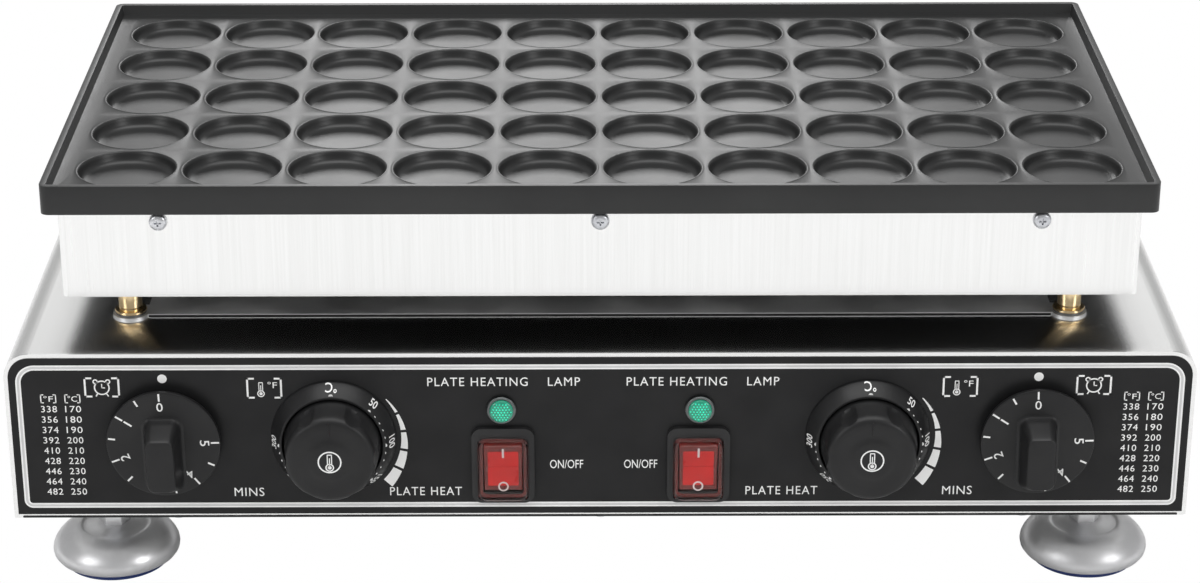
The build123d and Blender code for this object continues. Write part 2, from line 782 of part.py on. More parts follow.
# Feet: steel bell, soft pad and threaded stud, one set per corner
for corner, (foot_x, foot_y) in corners.items():
    foot_plane = Plane(origin=(foot_x, foot_y, 0), x_dir=(1, 0, 0), z_dir=(0, -1, 0))
    with BuildPart() as foot_bell:
        with BuildSketch(foot_plane):
            with BuildLine():
                side = Spline(
                    (foot_rim_radius, foot_pad_show),
                    (foot_lower_radius, foot_lower_height),
                    (foot_bell_radius, foot_wide_height),
                    (foot_upper_radius, foot_upper_height),
                    (foot_shoulder_radius, foot_shoulder_height),
                    (foot_crest_radius, foot_crest_height),
                )
                Polyline(
                    side @ 1,
                    (foot_dish_radius, foot_dish_height),
                    (foot_collar_radius, foot_dish_height),
                    (foot_collar_radius, foot_collar_height),
                    (foot_socket_radius + foot_socket_clearance, foot_collar_height),
                    (foot_socket_radius + foot_socket_clearance, foot_socket_floor),
                    (0, foot_socket_floor),
                    (0, foot_pad_height),
                    (foot_pad_radius + foot_pad_clearance, foot_pad_height),
                    (foot_pad_radius + foot_pad_clearance, foot_pad_show),
                    side @ 0,
                )
            make_face()
        revolve(axis=Axis((foot_x, foot_y, 0), (0, 0, 1)))
        with BuildSketch(Plane.XY.offset(foot_collar_height)):
            with Locations((foot_x, foot_y)):
                RegularPolygon(foot_hex_flats / 2, 6, major_radius=False)
                Circle(foot_stud_radius + foot_socket_clearance, mode=Mode.SUBTRACT)
        extrude(amount=foot_hex_height)
    keep(foot_bell, "foot_bell_" + corner)

    with BuildPart() as foot_pad:
        with BuildSketch(Plane.XY):
            with Locations((foot_x, foot_y)):
                Circle(foot_pad_radius)
        extrude(amount=foot_pad_height)
        with BuildSketch(Plane.XY):
            with Locations((foot_x, foot_y)):
                Circle(foot_pad_groove_radius)
                Circle(foot_pad_groove_radius - foot_pad_groove_width, mode=Mode.SUBTRACT)
        extrude(amount=foot_pad_groove_depth, mode=Mode.SUBTRACT)
    keep(foot_pad, "foot_pad_" + corner)

    head_bottom = foot_socket_floor + foot_thrust_gap
    head_top = foot_collar_height - foot_thrust_gap
    with BuildPart() as foot_stud:
        with BuildSketch(Plane.XY.offset(head_bottom)):
            with Locations((foot_x, foot_y)):
                Circle(foot_socket_radius)
        extrude(amount=head_top - head_bottom)
        with BuildSketch(Plane.XY.offset(head_top)):
            with Locations((foot_x, foot_y)):
                Circle(foot_stud_radius)
        extrude(amount=foot_stud_top - head_top)
        chamfer(foot_stud.edges().sort_by(Axis.Z)[-1], foot_stud_chamfer)
    keep(foot_stud, "foot_stud_" + corner)

# Controls, one set on each half of the panel
for side, sign in sides.items():
    timer_x = sign * timer_offset
    skirt_back = panel_front - timer_skirt_gap
    skirt_front = skirt_back - timer_skirt_thickness
    grip_front = panel_front - timer_grip_proud
    hub_back = panel_front - bushing_show - timer_hub_gap
    timer_tip = hub_back - timer_bore_depth

    # Clockwork timer behind the panel, with its bushing through it
    with BuildPart() as timer_body:
        with BuildSketch(facing_front(timer_x, shell_front, control_height)):
            RectangleRounded(timer_body_width, timer_body_height, timer_body_corner)
        extrude(amount=-timer_body_depth)
        with BuildSketch(facing_front(timer_x, shell_front, control_height)):
            Circle(bushing_radius)
        extrude(amount=shell_front - panel_front + bushing_show)
        with BuildSketch(facing_front(timer_x, panel_front - bushing_show, control_height)):
            Circle(shaft_radius + shaft_clearance)
        extrude(
            amount=-(shell_front - panel_front + bushing_show + shaft_in_body + shaft_end_gap),
            mode=Mode.SUBTRACT,
        )
    keep(timer_body, "timer_body_" + side)

    with BuildPart() as timer_shaft:
        with BuildSketch(facing_front(timer_x, shell_front + shaft_in_body, control_height)):
            Circle(shaft_radius)
        extrude(amount=shell_front + shaft_in_body - timer_tip - shaft_end_gap)
        with BuildSketch(facing_front(timer_x, hub_back, control_height)):
            with Locations((0, shaft_flat + shaft_radius)):
                Rectangle(2 * (shaft_radius + overrun), 2 * shaft_radius)
        extrude(amount=timer_bore_depth, mode=Mode.SUBTRACT)
    keep(timer_shaft, "timer_shaft_" + side)

    # Timer knob: flat numbered skirt with a bar grip, resting a little short of its mark
    knob_plane = facing_front(timer_x, skirt_back, control_height).rotated((0, 0, timer_rest_angle))
    with BuildPart() as timer_knob:
        with BuildSketch(knob_plane):
            Circle(timer_skirt_radius)
        extrude(amount=timer_skirt_thickness)
        fillet(timer_knob.edges().sort_by(Axis.Y)[0], timer_skirt_edge)
        with BuildSketch(knob_plane.offset(timer_skirt_thickness)):
            with Locations((0, (timer_grip_base_up - timer_grip_base_down) / 2)):
                RectangleRounded(
                    timer_grip_base_width, timer_grip_base_up + timer_grip_base_down, timer_grip_corner
                )
        with BuildSketch(knob_plane.offset(timer_grip_proud - timer_skirt_gap)):
            with Locations((0, (timer_grip_face_up - timer_grip_face_down) / 2)):
                RectangleRounded(
                    timer_grip_face_width, timer_grip_face_up + timer_grip_face_down, timer_grip_corner
                )
        loft()
        fillet(timer_knob.faces().sort_by(Axis.Y)[0].edges(), timer_grip_edge)
        with BuildSketch(facing_front(timer_x, hub_back, control_height)):
            Circle(timer_hub_radius)
        extrude(amount=hub_back - skirt_back)
        with BuildSketch(facing_front(timer_x, hub_back, control_height)):
            Circle(shaft_radius + shaft_clearance)
            with Locations((0, shaft_flat + shaft_clearance + shaft_radius)):
                Rectangle(2 * (shaft_radius + overrun), 2 * shaft_radius, mode=Mode.SUBTRACT)
        extrude(amount=timer_bore_depth, mode=Mode.SUBTRACT)
    keep(timer_knob, "timer_knob_" + side)

    # Thermostat: body behind the panel, fixed dial, shaft and scalloped knob
    thermostat_x = sign * thermostat_offset
    grip_back = panel_front - grip_gap
    thermostat_tip = grip_back - grip_bore_depth
    with BuildPart() as thermostat_body:
        with BuildSketch(facing_front(thermostat_x, shell_front, control_height)):
            RectangleRounded(thermostat_body_width, thermostat_body_height, thermostat_body_corner)
        extrude(amount=-thermostat_body_depth)
        with BuildSketch(facing_front(thermostat_x, shell_front, control_height)):
            Circle(bushing_radius)
        extrude(amount=shell_front - panel_front + bushing_show)
        with BuildSketch(facing_front(thermostat_x, panel_front - bushing_show, control_height)):
            Circle(shaft_radius + shaft_clearance)
        extrude(
            amount=-(shell_front - panel_front + bushing_show + shaft_in_body + shaft_end_gap),
            mode=Mode.SUBTRACT,
        )
    keep(thermostat_body, "thermostat_body_" + side)

    with BuildPart() as thermostat_shaft:
        with BuildSketch(facing_front(thermostat_x, shell_front + shaft_in_body, control_height)):
            Circle(shaft_radius)
        extrude(amount=shell_front + shaft_in_body - thermostat_tip - shaft_end_gap)
        with BuildSketch(facing_front(thermostat_x, grip_back, control_height)):
            with Locations((0, shaft_flat + shaft_radius)):
                Rectangle(2 * (shaft_radius + overrun), 2 * shaft_radius)
        extrude(amount=grip_bore_depth, mode=Mode.SUBTRACT)
    keep(thermostat_shaft, "thermostat_shaft_" + side)

    with BuildPart() as thermostat_dial:
        with BuildSketch(Plane(origin=(thermostat_x, panel_front, control_height), x_dir=(1, 0, 0),
                               z_dir=(0, 0, 1))):
            with BuildLine():
                Polyline(
                    (dial_inner_radius, 0),
                    (dial_outer_radius, 0),
                    (dial_outer_radius, -dial_edge),
                    (dial_top_radius, -dial_rise),
                    (dial_inner_radius, -dial_rise),
                    close=True,
                )
            make_face()
        revolve(axis=Axis((thermostat_x, panel_front, control_height), (0, 1, 0)))
    keep(thermostat_dial, "thermostat_dial_" + side)

    grip_plane = facing_front(thermostat_x, grip_back, control_height)
    with BuildPart() as thermostat_knob:
        with BuildSketch(grip_plane):
            Circle(grip_base_radius)
        extrude(amount=grip_flange)
        with BuildSketch(grip_plane.offset(grip_flange)):
            Circle(grip_neck_radius)
        with BuildSketch(grip_plane.offset(grip_proud - grip_gap)):
            Circle(grip_face_radius)
        loft()
        with BuildSketch(grip_plane.offset(grip_flange)):
            with PolarLocations(grip_scallop_reach, grip_scallops, start_angle=180 / grip_scallops):
                Circle(grip_scallop_radius)
        extrude(amount=grip_proud, mode=Mode.SUBTRACT)
        fillet(thermostat_knob.faces().sort_by(Axis.Y)[0].edges(), grip_edge)
        with BuildSketch(grip_plane.offset(grip_proud - grip_gap)):
            Circle(grip_cap_radius)
        extrude(amount=grip_cap_rise)
        with BuildSketch(grip_plane.offset(grip_proud - grip_gap)):
            with Locations((0, grip_cap_radius + grip_pointer_length / 2)):
                Rectangle(grip_pointer_width, grip_pointer_length)
        extrude(amount=-grip_pointer_depth, mode=Mode.SUBTRACT)
        with BuildSketch(grip_plane):
            Circle(shaft_radius + shaft_clearance)
            with Locations((0, shaft_flat + shaft_clearance + shaft_radius)):
                Rectangle(2 * (shaft_radius + overrun), 2 * shaft_radius, mode=Mode.SUBTRACT)
        extrude(amount=grip_bore_depth, mode=Mode.SUBTRACT)
    keep(thermostat_knob, "thermostat_knob_" + side)

    # Sensor: bulb under the tray and its capillary down to the thermostat
    bulb_end = thermostat_x + sign * bulb_lead
    capillary_end = shell_front + thermostat_body_depth
    capillary_turn = control_height + capillary_seat - overrun
    run_out = bulb_lead
    run_down = bulb_height - capillary_turn
    run_front = -capillary_end
    bend_upper = capillary_bend_share * min(run_out, run_down)
    bend_lower = capillary_bend_share * min(run_down, run_front)
    with BuildPart() as sensor:
        with BuildSketch(Plane(origin=(bulb_end, 0, bulb_height), z_dir=(sign, 0, 0))):
            Circle(bulb_radius)
        extrude(amount=bulb_length)
        fillet(sensor.edges().filter_by(GeomType.CIRCLE), bulb_radius / 2)
        with BuildLine() as capillary:
            FilletPolyline(
                (bulb_end, 0, bulb_height),
                (thermostat_x, 0, bulb_height),
                (thermostat_x, 0, capillary_turn),
                (thermostat_x, capillary_end, capillary_turn),
                radius=[bend_upper, bend_lower],
            )
        with BuildSketch(Plane(capillary.line @ 0, z_dir=capillary.line % 0)):
            Circle(capillary_radius)
        sweep()
    section = math.pi * capillary_radius**2
    capillary_volume = capillary.wire().length * section
    bulb_volume = math.pi * bulb_radius**2 * bulb_length
    print(side, "capillary radii", round(bend_upper, 3), round(bend_lower, 3))
    print(side, "sensor volume", round(sensor.part.volume, 2), "route", round(capillary_volume, 2),
          "bulb with square ends", round(bulb_volume, 2))
    keep(sensor, "sensor_" + side)

    # Indicator lamp: housing with bezel and a domed lens
    lamp_x = sign * lamp_offset
    with BuildPart() as lamp_housing:
        with BuildSketch(facing_front(lamp_x, panel_front, lamp_height)):
            Circle(lamp_bezel_radius)
        extrude(amount=lamp_bezel_height)
        chamfer(lamp_housing.edges().sort_by(Axis.Y)[0], lamp_bezel_edge)
        with BuildSketch(facing_front(lamp_x, panel_front, lamp_height)):
            Circle(lamp_body_radius)
        extrude(amount=-lamp_body_depth)
        with BuildSketch(facing_front(lamp_x, panel_front - lens_seat, lamp_height)):
            Circle(lens_radius + lens_clearance)
        extrude(amount=lamp_bezel_height, mode=Mode.SUBTRACT)
        with BuildSketch(facing_front(lamp_x, panel_front + lamp_body_depth, lamp_height)):
            with GridLocations(lamp_pin_spacing, 0, 2, 1):
                Rectangle(lamp_pin_thickness, lamp_pin_width)
        extrude(amount=-lamp_pin_length)
    keep(lamp_housing, "lamp_housing_" + side)

    dome_radius = (lens_radius**2 + lens_dome**2) / (2 * lens_dome)
    dome_half = math.asin(lens_radius / dome_radius) / 2
    with BuildPart() as lamp_lens:
        with BuildSketch(Plane(origin=(lamp_x, panel_front - lens_seat, lamp_height), x_dir=(1, 0, 0),
                               z_dir=(0, 0, 1))):
            with BuildLine():
                Line((0, 0), (lens_radius, 0))
                Line((lens_radius, 0), (lens_radius, -lens_side))
                ThreePointArc(
                    (lens_radius, -lens_side),
                    (dome_radius * math.sin(dome_half), -lens_side - lens_dome + dome_radius * (1 - math.cos(dome_half))),
                    (0, -lens_side - lens_dome),
                )
                Line((0, -lens_side - lens_dome), (0, 0))
            make_face()
        revolve(axis=Axis((lamp_x, panel_front, lamp_height), (0, 1, 0)))
    keep(lamp_lens, "lamp_lens_" + side)

    # Rocker switch: housing with its frame, rocker and clear cover
    switch_x = sign * switch_offset
    pocket_width = rocker_width + 2 * rocker_gap
    pocket_height = 2 * (rocker_radius + rocker_gap)
    pivot_y = panel_front + rocker_pivot_depth
    switch_plane = facing_front(switch_x, panel_front, switch_height)
    with BuildPart() as switch_housing:
        with BuildSketch(switch_plane):
            RectangleRounded(frame_width, frame_height, frame_corner)
        extrude(amount=frame_proud)
        fillet(switch_housing.faces().sort_by(Axis.Y)[0].edges(), frame_edge)
        with BuildSketch(switch_plane.offset(web_thickness)):
            RectangleRounded(window_width, window_height, window_corner)
        extrude(amount=frame_proud, mode=Mode.SUBTRACT)
        with BuildSketch(switch_plane):
            Rectangle(switch_body_width, switch_body_height)
        extrude(amount=-switch_body_depth)
        with BuildSketch(switch_plane.offset(web_thickness)):
            Rectangle(pocket_width, pocket_height)
        extrude(amount=-(web_thickness + switch_floor), mode=Mode.SUBTRACT)
        with BuildSketch(Plane(origin=(switch_x, pivot_y, switch_height), x_dir=(0, 1, 0), z_dir=(1, 0, 0))):
            Circle(rocker_pivot_radius + rocker_pivot_clearance)
        extrude(
            amount=rocker_width / 2 + rocker_pivot_length + rocker_gap, both=True, mode=Mode.SUBTRACT
        )
        with BuildSketch(switch_plane.offset(-switch_body_depth)):
            with GridLocations(0, blade_spacing, 1, 2):
                Rectangle(blade_width, blade_thickness)
        extrude(amount=-blade_length)
    keep(switch_housing, "switch_housing_" + side)

    # The rocker lies with its lower half pressed in; its two faces meet in a shallow valley
    tilt = math.radians(rocker_throw)
    with BuildPart() as rocker:
        with BuildSketch(
            Plane(origin=(switch_x, pivot_y, switch_height), x_dir=(0, math.cos(tilt), math.sin(tilt)),
                  z_dir=(1, 0, 0))
        ):
            Circle(rocker_radius)
            with BuildLine():
                Polyline(
                    (-rocker_face, 0),
                    (-rocker_face - rocker_sag, rocker_radius),
                    (-2 * rocker_radius, rocker_radius),
                    (-2 * rocker_radius, -rocker_radius),
                    (-rocker_face - rocker_sag, -rocker_radius),
                    close=True,
                )
            make_face(mode=Mode.SUBTRACT)
            with Locations((rocker_back + rocker_radius, 0)):
                Rectangle(2 * rocker_radius, 2 * rocker_radius, mode=Mode.SUBTRACT)
        extrude(amount=rocker_width / 2, both=True)
        with BuildSketch(Plane(origin=(switch_x, pivot_y, switch_height), x_dir=(0, 1, 0), z_dir=(1, 0, 0))):
            Circle(rocker_pivot_radius)
        extrude(amount=rocker_width / 2 + rocker_pivot_length, both=True)
    keep(rocker, "rocker_" + side)

    with BuildPart() as switch_cover:
        with BuildSketch(switch_plane.offset(web_thickness)):
            RectangleRounded(
                window_width - 2 * cover_clearance, window_height - 2 * cover_clearance,
                window_corner - cover_clearance,
            )
        extrude(amount=cover_proud - web_thickness)
        fillet(switch_cover.faces().sort_by(Axis.Y)[0].edges(), cover_edge)
        with BuildSketch(switch_plane.offset(web_thickness)):
            RectangleRounded(
                window_width - 2 * cover_clearance - 2 * cover_rim,
                window_height - 2 * cover_clearance - 2 * cover_rim,
                window_corner - cover_clearance - cover_rim,
            )
        extrude(amount=cover_proud - web_thickness - cover_wall, mode=Mode.SUBTRACT)
    keep(switch_cover, "switch_cover_" + side)

# Cable gland in the rear panel: bushing with hexagon and a domed cap, and its nut inside
gland_face = facing_rear(gland_x, rear_face, gland_z)
with BuildPart() as cable_gland:
    with BuildSketch(gland_face):
        Circle(gland_thread_radius)
    extrude(amount=-(sheet + gland_thread_length))
    with BuildSketch(gland_face):
        RegularPolygon(gland_hex_flats / 2, 6, major_radius=False)
    extrude(amount=gland_hex_height)
    with BuildSketch(gland_face.offset(gland_hex_height)):
        Circle(gland_cap_radius)
    extrude(amount=gland_cap_height)
    with BuildSketch(gland_face.offset(gland_hex_height + gland_cap_height)):
        Circle(gland_cap_radius)
    with BuildSketch(gland_face.offset(gland_hex_height + gland_cap_height + gland_cap_tip)):
        Circle(gland_tip_radius)
    loft()
    with BuildSketch(gland_face.offset(-(sheet + gland_thread_length))):
        Circle(gland_bore_radius)
    extrude(
        amount=sheet + gland_thread_length + gland_hex_height + gland_cap_height + gland_cap_tip,
        mode=Mode.SUBTRACT,
    )
keep(cable_gland, "cable_gland")

with BuildPart() as gland_nut:
    with BuildSketch(gland_face.offset(-sheet)):
        RegularPolygon(gland_nut_flats / 2, 6, major_radius=False)
        Circle(gland_thread_radius + thread_clearance, mode=Mode.SUBTRACT)
    extrude(amount=-gland_nut_height)
keep(gland_nut, "gland_nut")

# Terminal block on the bottom plate, with wire openings and screw wells
with BuildPart() as terminal_block:
    with BuildSketch(Plane.XY.offset(base_bottom)):
        with Locations((terminal_x, terminal_y)):
            Rectangle(terminal_length, terminal_depth)
    extrude(amount=terminal_height - terminal_step)
    with BuildSketch(Plane.XY.offset(base_bottom + terminal_height - terminal_step)):
        with Locations((terminal_x, terminal_y)):
            Rectangle(terminal_length, terminal_depth / 2)
    extrude(amount=terminal_step)
    with BuildSketch(Plane.XY.offset(base_bottom + terminal_height)):
        with Locations((terminal_x, terminal_y)):
            with GridLocations(terminal_pitch, 0, terminal_poles, 1):
                Circle(terminal_screw_radius)
    extrude(amount=-terminal_screw_depth, mode=Mode.SUBTRACT)
    with BuildSketch(facing_front(terminal_x, terminal_y, base_bottom + (terminal_height - terminal_step) / 2)):
        with GridLocations(terminal_pitch, 0, terminal_poles, 1):
            Circle(terminal_wire_radius)
    extrude(amount=terminal_depth, both=True, mode=Mode.SUBTRACT)
keep(terminal_block, "terminal_block")
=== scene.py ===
import math

import bmesh
import bpy
from mathutils import Matrix, Vector


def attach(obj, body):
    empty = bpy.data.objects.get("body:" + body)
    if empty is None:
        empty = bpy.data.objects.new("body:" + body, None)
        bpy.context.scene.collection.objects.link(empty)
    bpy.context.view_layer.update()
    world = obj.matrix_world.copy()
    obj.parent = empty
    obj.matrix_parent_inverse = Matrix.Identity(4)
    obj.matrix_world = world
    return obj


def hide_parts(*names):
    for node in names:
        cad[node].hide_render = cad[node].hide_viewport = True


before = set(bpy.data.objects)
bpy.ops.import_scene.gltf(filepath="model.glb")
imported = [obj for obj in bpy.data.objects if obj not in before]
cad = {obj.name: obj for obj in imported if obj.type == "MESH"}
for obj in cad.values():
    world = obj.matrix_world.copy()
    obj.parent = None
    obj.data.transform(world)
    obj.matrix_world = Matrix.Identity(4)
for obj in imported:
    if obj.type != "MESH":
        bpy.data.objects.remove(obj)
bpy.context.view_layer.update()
MM = 0.001

# Places and sizes of the machine, in millimetres
BASE_WIDTH = 553.0
BASE_BOTTOM = 42.5
BASE_TOP = 127.0
PANEL_FRONT = -161.0
TRAY_WIDTH = 517.6
TRAY_DEPTH = 270.1
TRAY_BOTTOM = 186.0
TRAY_PLATE = 195.0
RIM_TOP = 200.0
WELL_PITCH = 49.5
WELL_RADIUS = 22.85
CONTROL_HEIGHT = 84.2
TIMER_X = 203.3
THERMOSTAT_X = 124.7
LAMP_X = 46.2
LAMP_Z = 98.8
SWITCH_X = 45.7
SWITCH_Z = 69.7
FOOT_X = 236.0
FOOT_Y = 119.5
PILLAR_SPOTS = [(x, y) for x in (-222.7, 222.7) for y in (-114.0, 114.0)]
SHIELD_TOP = 128.0
BOX_FACE = 128.35
BOX_SCREW_X = (-205.3, 0, 205.3)
BOX_SCREW_Z = 180.0
CAP_DROP = 1.1
KEY_DEPTH = 2.5
KEY_TILT = math.radians(8)
KEY_VALLEY = 3.2
KEY_SLOPE = math.atan2(2.1, 12.1)
TICK_STEP = 27.0
HIDDEN_TICK = 6
DIAL_START = 45
KNOB_TURN = math.radians(0.8)
MARKS_TURN = math.radians(2.1)
SIDES = {"left": -1, "right": 1}
CORNERS = {
    "front_left": (-FOOT_X, -FOOT_Y),
    "front_right": (FOOT_X, -FOOT_Y),
    "rear_left": (-FOOT_X, FOOT_Y),
    "rear_right": (FOOT_X, FOOT_Y),
}


# Handling of pieces

def leave_edit():
    if bpy.context.object and bpy.context.object.mode != "OBJECT":
        bpy.ops.object.mode_set(mode="OBJECT")


def nothing_selected():
    leave_edit()
    bpy.ops.object.select_all(action="DESELECT")


def take(piece):
    nothing_selected()
    piece.select_set(True)
    bpy.context.view_layer.objects.active = piece
    return piece


def fresh(name):
    piece = bpy.context.object
    piece.name = name
    piece.data.name = name
    return piece


def edit(piece):
    take(piece)
    bpy.ops.object.mode_set(mode="EDIT")
    bpy.ops.mesh.select_mode(type="VERT")
    bpy.ops.mesh.select_all(action="DESELECT")
    return bmesh.from_edit_mesh(piece.data)


def choose(piece, kind, test):
    """Select in edit mode the faces, edges or vertices that pass a test on their middle and themselves."""
    bpy.ops.mesh.select_all(action="DESELECT")
    bpy.ops.mesh.select_mode(type={"faces": "FACE", "edges": "EDGE", "verts": "VERT"}[kind])
    cage = bmesh.from_edit_mesh(piece.data)
    for part in getattr(cage, kind):
        if kind == "faces":
            middle = part.calc_center_median()
        elif kind == "edges":
            middle = (part.verts[0].co + part.verts[1].co) / 2
        else:
            middle = part.co
        if test(middle / MM, part):
            part.select_set(True)
    cage.select_flush_mode()
    bmesh.update_edit_mesh(piece.data)


def settle(piece):
    take(piece)
    bpy.ops.object.transform_apply(location=True, rotation=True, scale=True)
    return piece


def put(piece, x, y, z, turn=(0.0, 0.0, 0.0)):
    """Move a piece made at the origin to its place and fix the place in its mesh."""
    take(piece)
    piece.location = (x * MM, y * MM, z * MM)
    piece.rotation_euler = turn
    return settle(piece)


def on_panel(piece, x, z, proud=0.0, roll=0.0):
    """Stand a piece up on the panel: its +Z turns to the operator and its +Y upwards."""
    take(piece)
    if roll:
        piece.rotation_euler = (0, 0, roll)
        settle(piece)
    return put(piece, x, PANEL_FRONT - proud, z, (math.pi / 2, 0, 0))


def twin(piece, name):
    take(piece)
    bpy.ops.object.duplicate(linked=False)
    copy = bpy.context.object
    copy.name = name
    copy.data.name = name
    return copy


def join(pieces, name):
    nothing_selected()
    for piece in pieces:
        piece.select_set(True)
    bpy.context.view_layer.objects.active = pieces[0]
    if len(pieces) > 1:
        bpy.ops.object.join()
    return fresh(name)


def bevel_edges(piece, width, segments=3, angle=30.0):
    take(piece)
    soft = piece.modifiers.new("soft_edges", "BEVEL")
    soft.width = width * MM
    soft.segments = segments
    soft.limit_method = "ANGLE"
    soft.angle_limit = math.radians(angle)
    soft.harden_normals = False
    bpy.ops.object.modifier_apply(modifier=soft.name)
    return piece


def cut(piece, cutter):
    take(piece)
    carve = piece.modifiers.new("carve", "BOOLEAN")
    carve.operation = "DIFFERENCE"
    carve.solver = "MANIFOLD"
    carve.object = cutter
    bpy.ops.object.modifier_apply(modifier=carve.name)
    bpy.data.objects.remove(cutter)
    return piece


def smooth(piece, angle=35.0):
    take(piece)
    bpy.ops.object.shade_smooth_by_angle(angle=math.radians(angle))
    return piece


def outwards(piece):
    edit(piece)
    bpy.ops.mesh.select_all(action="SELECT")
    bpy.ops.mesh.remove_doubles(threshold=0.000001)
    bpy.ops.mesh.normals_make_consistent(inside=False)
    leave_edit()
    return piece


def turned(name, rings, steps=96, start="closed", end="closed"):
    """A turned piece: a circle drawn out ring by ring along +Z, as (radius, height) in millimetres."""
    nothing_selected()
    radius, height = rings[0]
    bpy.ops.mesh.primitive_circle_add(vertices=steps, radius=radius * MM, location=(0, 0, height * MM))
    piece = settle(fresh(name))
    bpy.ops.object.mode_set(mode="EDIT")
    bpy.ops.mesh.select_mode(type="VERT")
    bpy.ops.mesh.select_all(action="SELECT")
    if start == "closed":
        bpy.ops.mesh.extrude_region_move(TRANSFORM_OT_translate={"value": (0, 0, 0)})
        bpy.ops.mesh.merge(type="CENTER")
        choose(piece, "verts", lambda c, v: abs(math.hypot(c.x, c.y) - radius) < 0.001)
    for wide, high in rings[1:]:
        bpy.ops.mesh.extrude_region_move(TRANSFORM_OT_translate={"value": (0, 0, (high - height) * MM)})
        if abs(wide - radius) > 1e-9:
            share = wide / radius
            bpy.ops.transform.resize(value=(share, share, 1), center_override=(0, 0, high * MM))
        radius, height = wide, high
    if end == "closed":
        bpy.ops.mesh.extrude_region_move(TRANSFORM_OT_translate={"value": (0, 0, 0)})
        bpy.ops.mesh.merge(type="CENTER")
    leave_edit()
    return outwards(piece)


def block(name, size, middle=(0, 0, 0)):
    nothing_selected()
    bpy.ops.mesh.primitive_cube_add(size=1, location=[m * MM for m in middle], scale=[s * MM for s in size])
    return settle(fresh(name))


def rounded_plate(name, width, height, radius, thickness, segments=8, low_radius=None):
    """A flat plate in XY with rounded corners; the lower pair may have its own radius."""
    plate = block(name, (width, height, thickness), (0, 0, thickness / 2))
    for top, corner in ((True, radius), (False, low_radius if low_radius is not None else radius)):
        edit(plate)
        choose(
            plate, "edges",
            lambda c, e: abs((e.verts[0].co - e.verts[1].co).z) > thickness * MM * 0.9 and (c.y > 0) == top
            and abs(c.x) > width / 2 - 0.01 and abs(c.y) > height / 2 - 0.01,
        )
        bpy.ops.mesh.bevel(offset=corner * MM, segments=segments, affect="EDGES")
        leave_edit()
    return plate


def lettering(name, words, size, middle=(0.0, 0.0), roll=0.0, thickness=0.04, spread=1.0, weight=0.0, wide=None):
    """Flat letters in XY, centred on a place and drawn to a width, made a thin mesh."""
    nothing_selected()
    bpy.ops.object.text_add(location=(0, 0, 0))
    text = bpy.context.object
    text.data.body = words
    text.data.size = size * MM
    text.data.space_character = spread
    text.data.align_x = "CENTER"
    text.data.align_y = "CENTER"
    text.data.extrude = thickness * MM / 2
    text.data.offset = weight * MM
    text.data.resolution_u = 3
    bpy.ops.object.convert(target="MESH")
    piece = fresh(name)
    if wide:
        reach = [v.co.x for v in piece.data.vertices]
        piece.scale = (wide * MM / (max(reach) - min(reach)), 1, 1)
        settle(piece)
    low = [min(v.co[k] for v in piece.data.vertices) for k in (0, 1)]
    high = [max(v.co[k] for v in piece.data.vertices) for k in (0, 1)]
    piece.location = (-(low[0] + high[0]) / 2, -(low[1] + high[1]) / 2, thickness * MM / 2)
    settle(piece)
    piece.rotation_euler = (0, 0, roll)
    settle(piece)
    piece.location = (middle[0] * MM, middle[1] * MM, 0)
    return settle(piece)


def stroke(name, start, end, width, thickness=0.04):
    """A straight printed line from one place to another."""
    a, b = Vector(start), Vector(end)
    line = block(name, ((b - a).length, width, thickness), (0, 0, thickness / 2))
    take(line)
    line.rotation_euler = (0, 0, math.atan2(b.y - a.y, b.x - a.x))
    line.location = ((a.x + b.x) / 2 * MM, (a.y + b.y) / 2 * MM, 0)
    return settle(line)


def spot(name, middle, radius, inner=0.0, steps=32, thickness=0.04):
    """A printed dot, or a printed ring if it has an inner radius."""
    if inner:
        piece = turned(name, [(inner, 0), (radius, 0), (radius, thickness), (inner, thickness), (inner, 0)],
                       steps, "open", "open")
    else:
        piece = turned(name, [(radius, 0), (radius, thickness)], steps)
    piece.location = (middle[0] * MM, middle[1] * MM, 0)
    return settle(piece)


def arc_band(name, inner_start, outer_start, inner_end, outer_end, from_turn, to_turn, steps=10, thickness=0.04):
    """A printed piece of ring; its width may grow from start to end. Turns run clockwise from the top, in degrees."""
    nothing_selected()
    bpy.ops.mesh.primitive_grid_add(x_subdivisions=steps, y_subdivisions=1, size=1)
    piece = settle(fresh(name))
    for vertex in piece.data.vertices:
        share = vertex.co.x + 0.5
        across = vertex.co.y + 0.5
        inner = inner_start + (inner_end - inner_start) * share
        outer = outer_start + (outer_end - outer_start) * share
        turn = math.radians(from_turn + (to_turn - from_turn) * share)
        reach = (inner + (outer - inner) * across) * MM
        vertex.co = (reach * math.sin(turn), reach * math.cos(turn), 0)
    edit(piece)
    bpy.ops.mesh.select_all(action="SELECT")
    bpy.ops.mesh.extrude_region_move(TRANSFORM_OT_translate={"value": (0, 0, thickness * MM)})
    leave_edit()
    return outwards(piece)


# Finishes

def finish(name, colour, roughness, metallic=0.0):
    """A node material with its shader set to a base colour, roughness and metallic."""
    material = bpy.data.materials.new(name)
    material.use_nodes = True
    tree = material.node_tree
    shader = tree.nodes["Principled BSDF"]
    shader.inputs["Base Color"].default_value = (*colour, 1)
    shader.inputs["Roughness"].default_value = roughness
    shader.inputs["Metallic"].default_value = metallic
    return material, tree, shader


def where(tree, scale=(1, 1, 1)):
    """Object coordinates, stretched for a grain that runs one way."""
    coordinates = tree.nodes.new("ShaderNodeTexCoord")
    mapping = tree.nodes.new("ShaderNodeMapping")
    mapping.inputs["Scale"].default_value = scale
    tree.links.new(coordinates.outputs["Object"], mapping.inputs["Vector"])
    return mapping.outputs["Vector"]


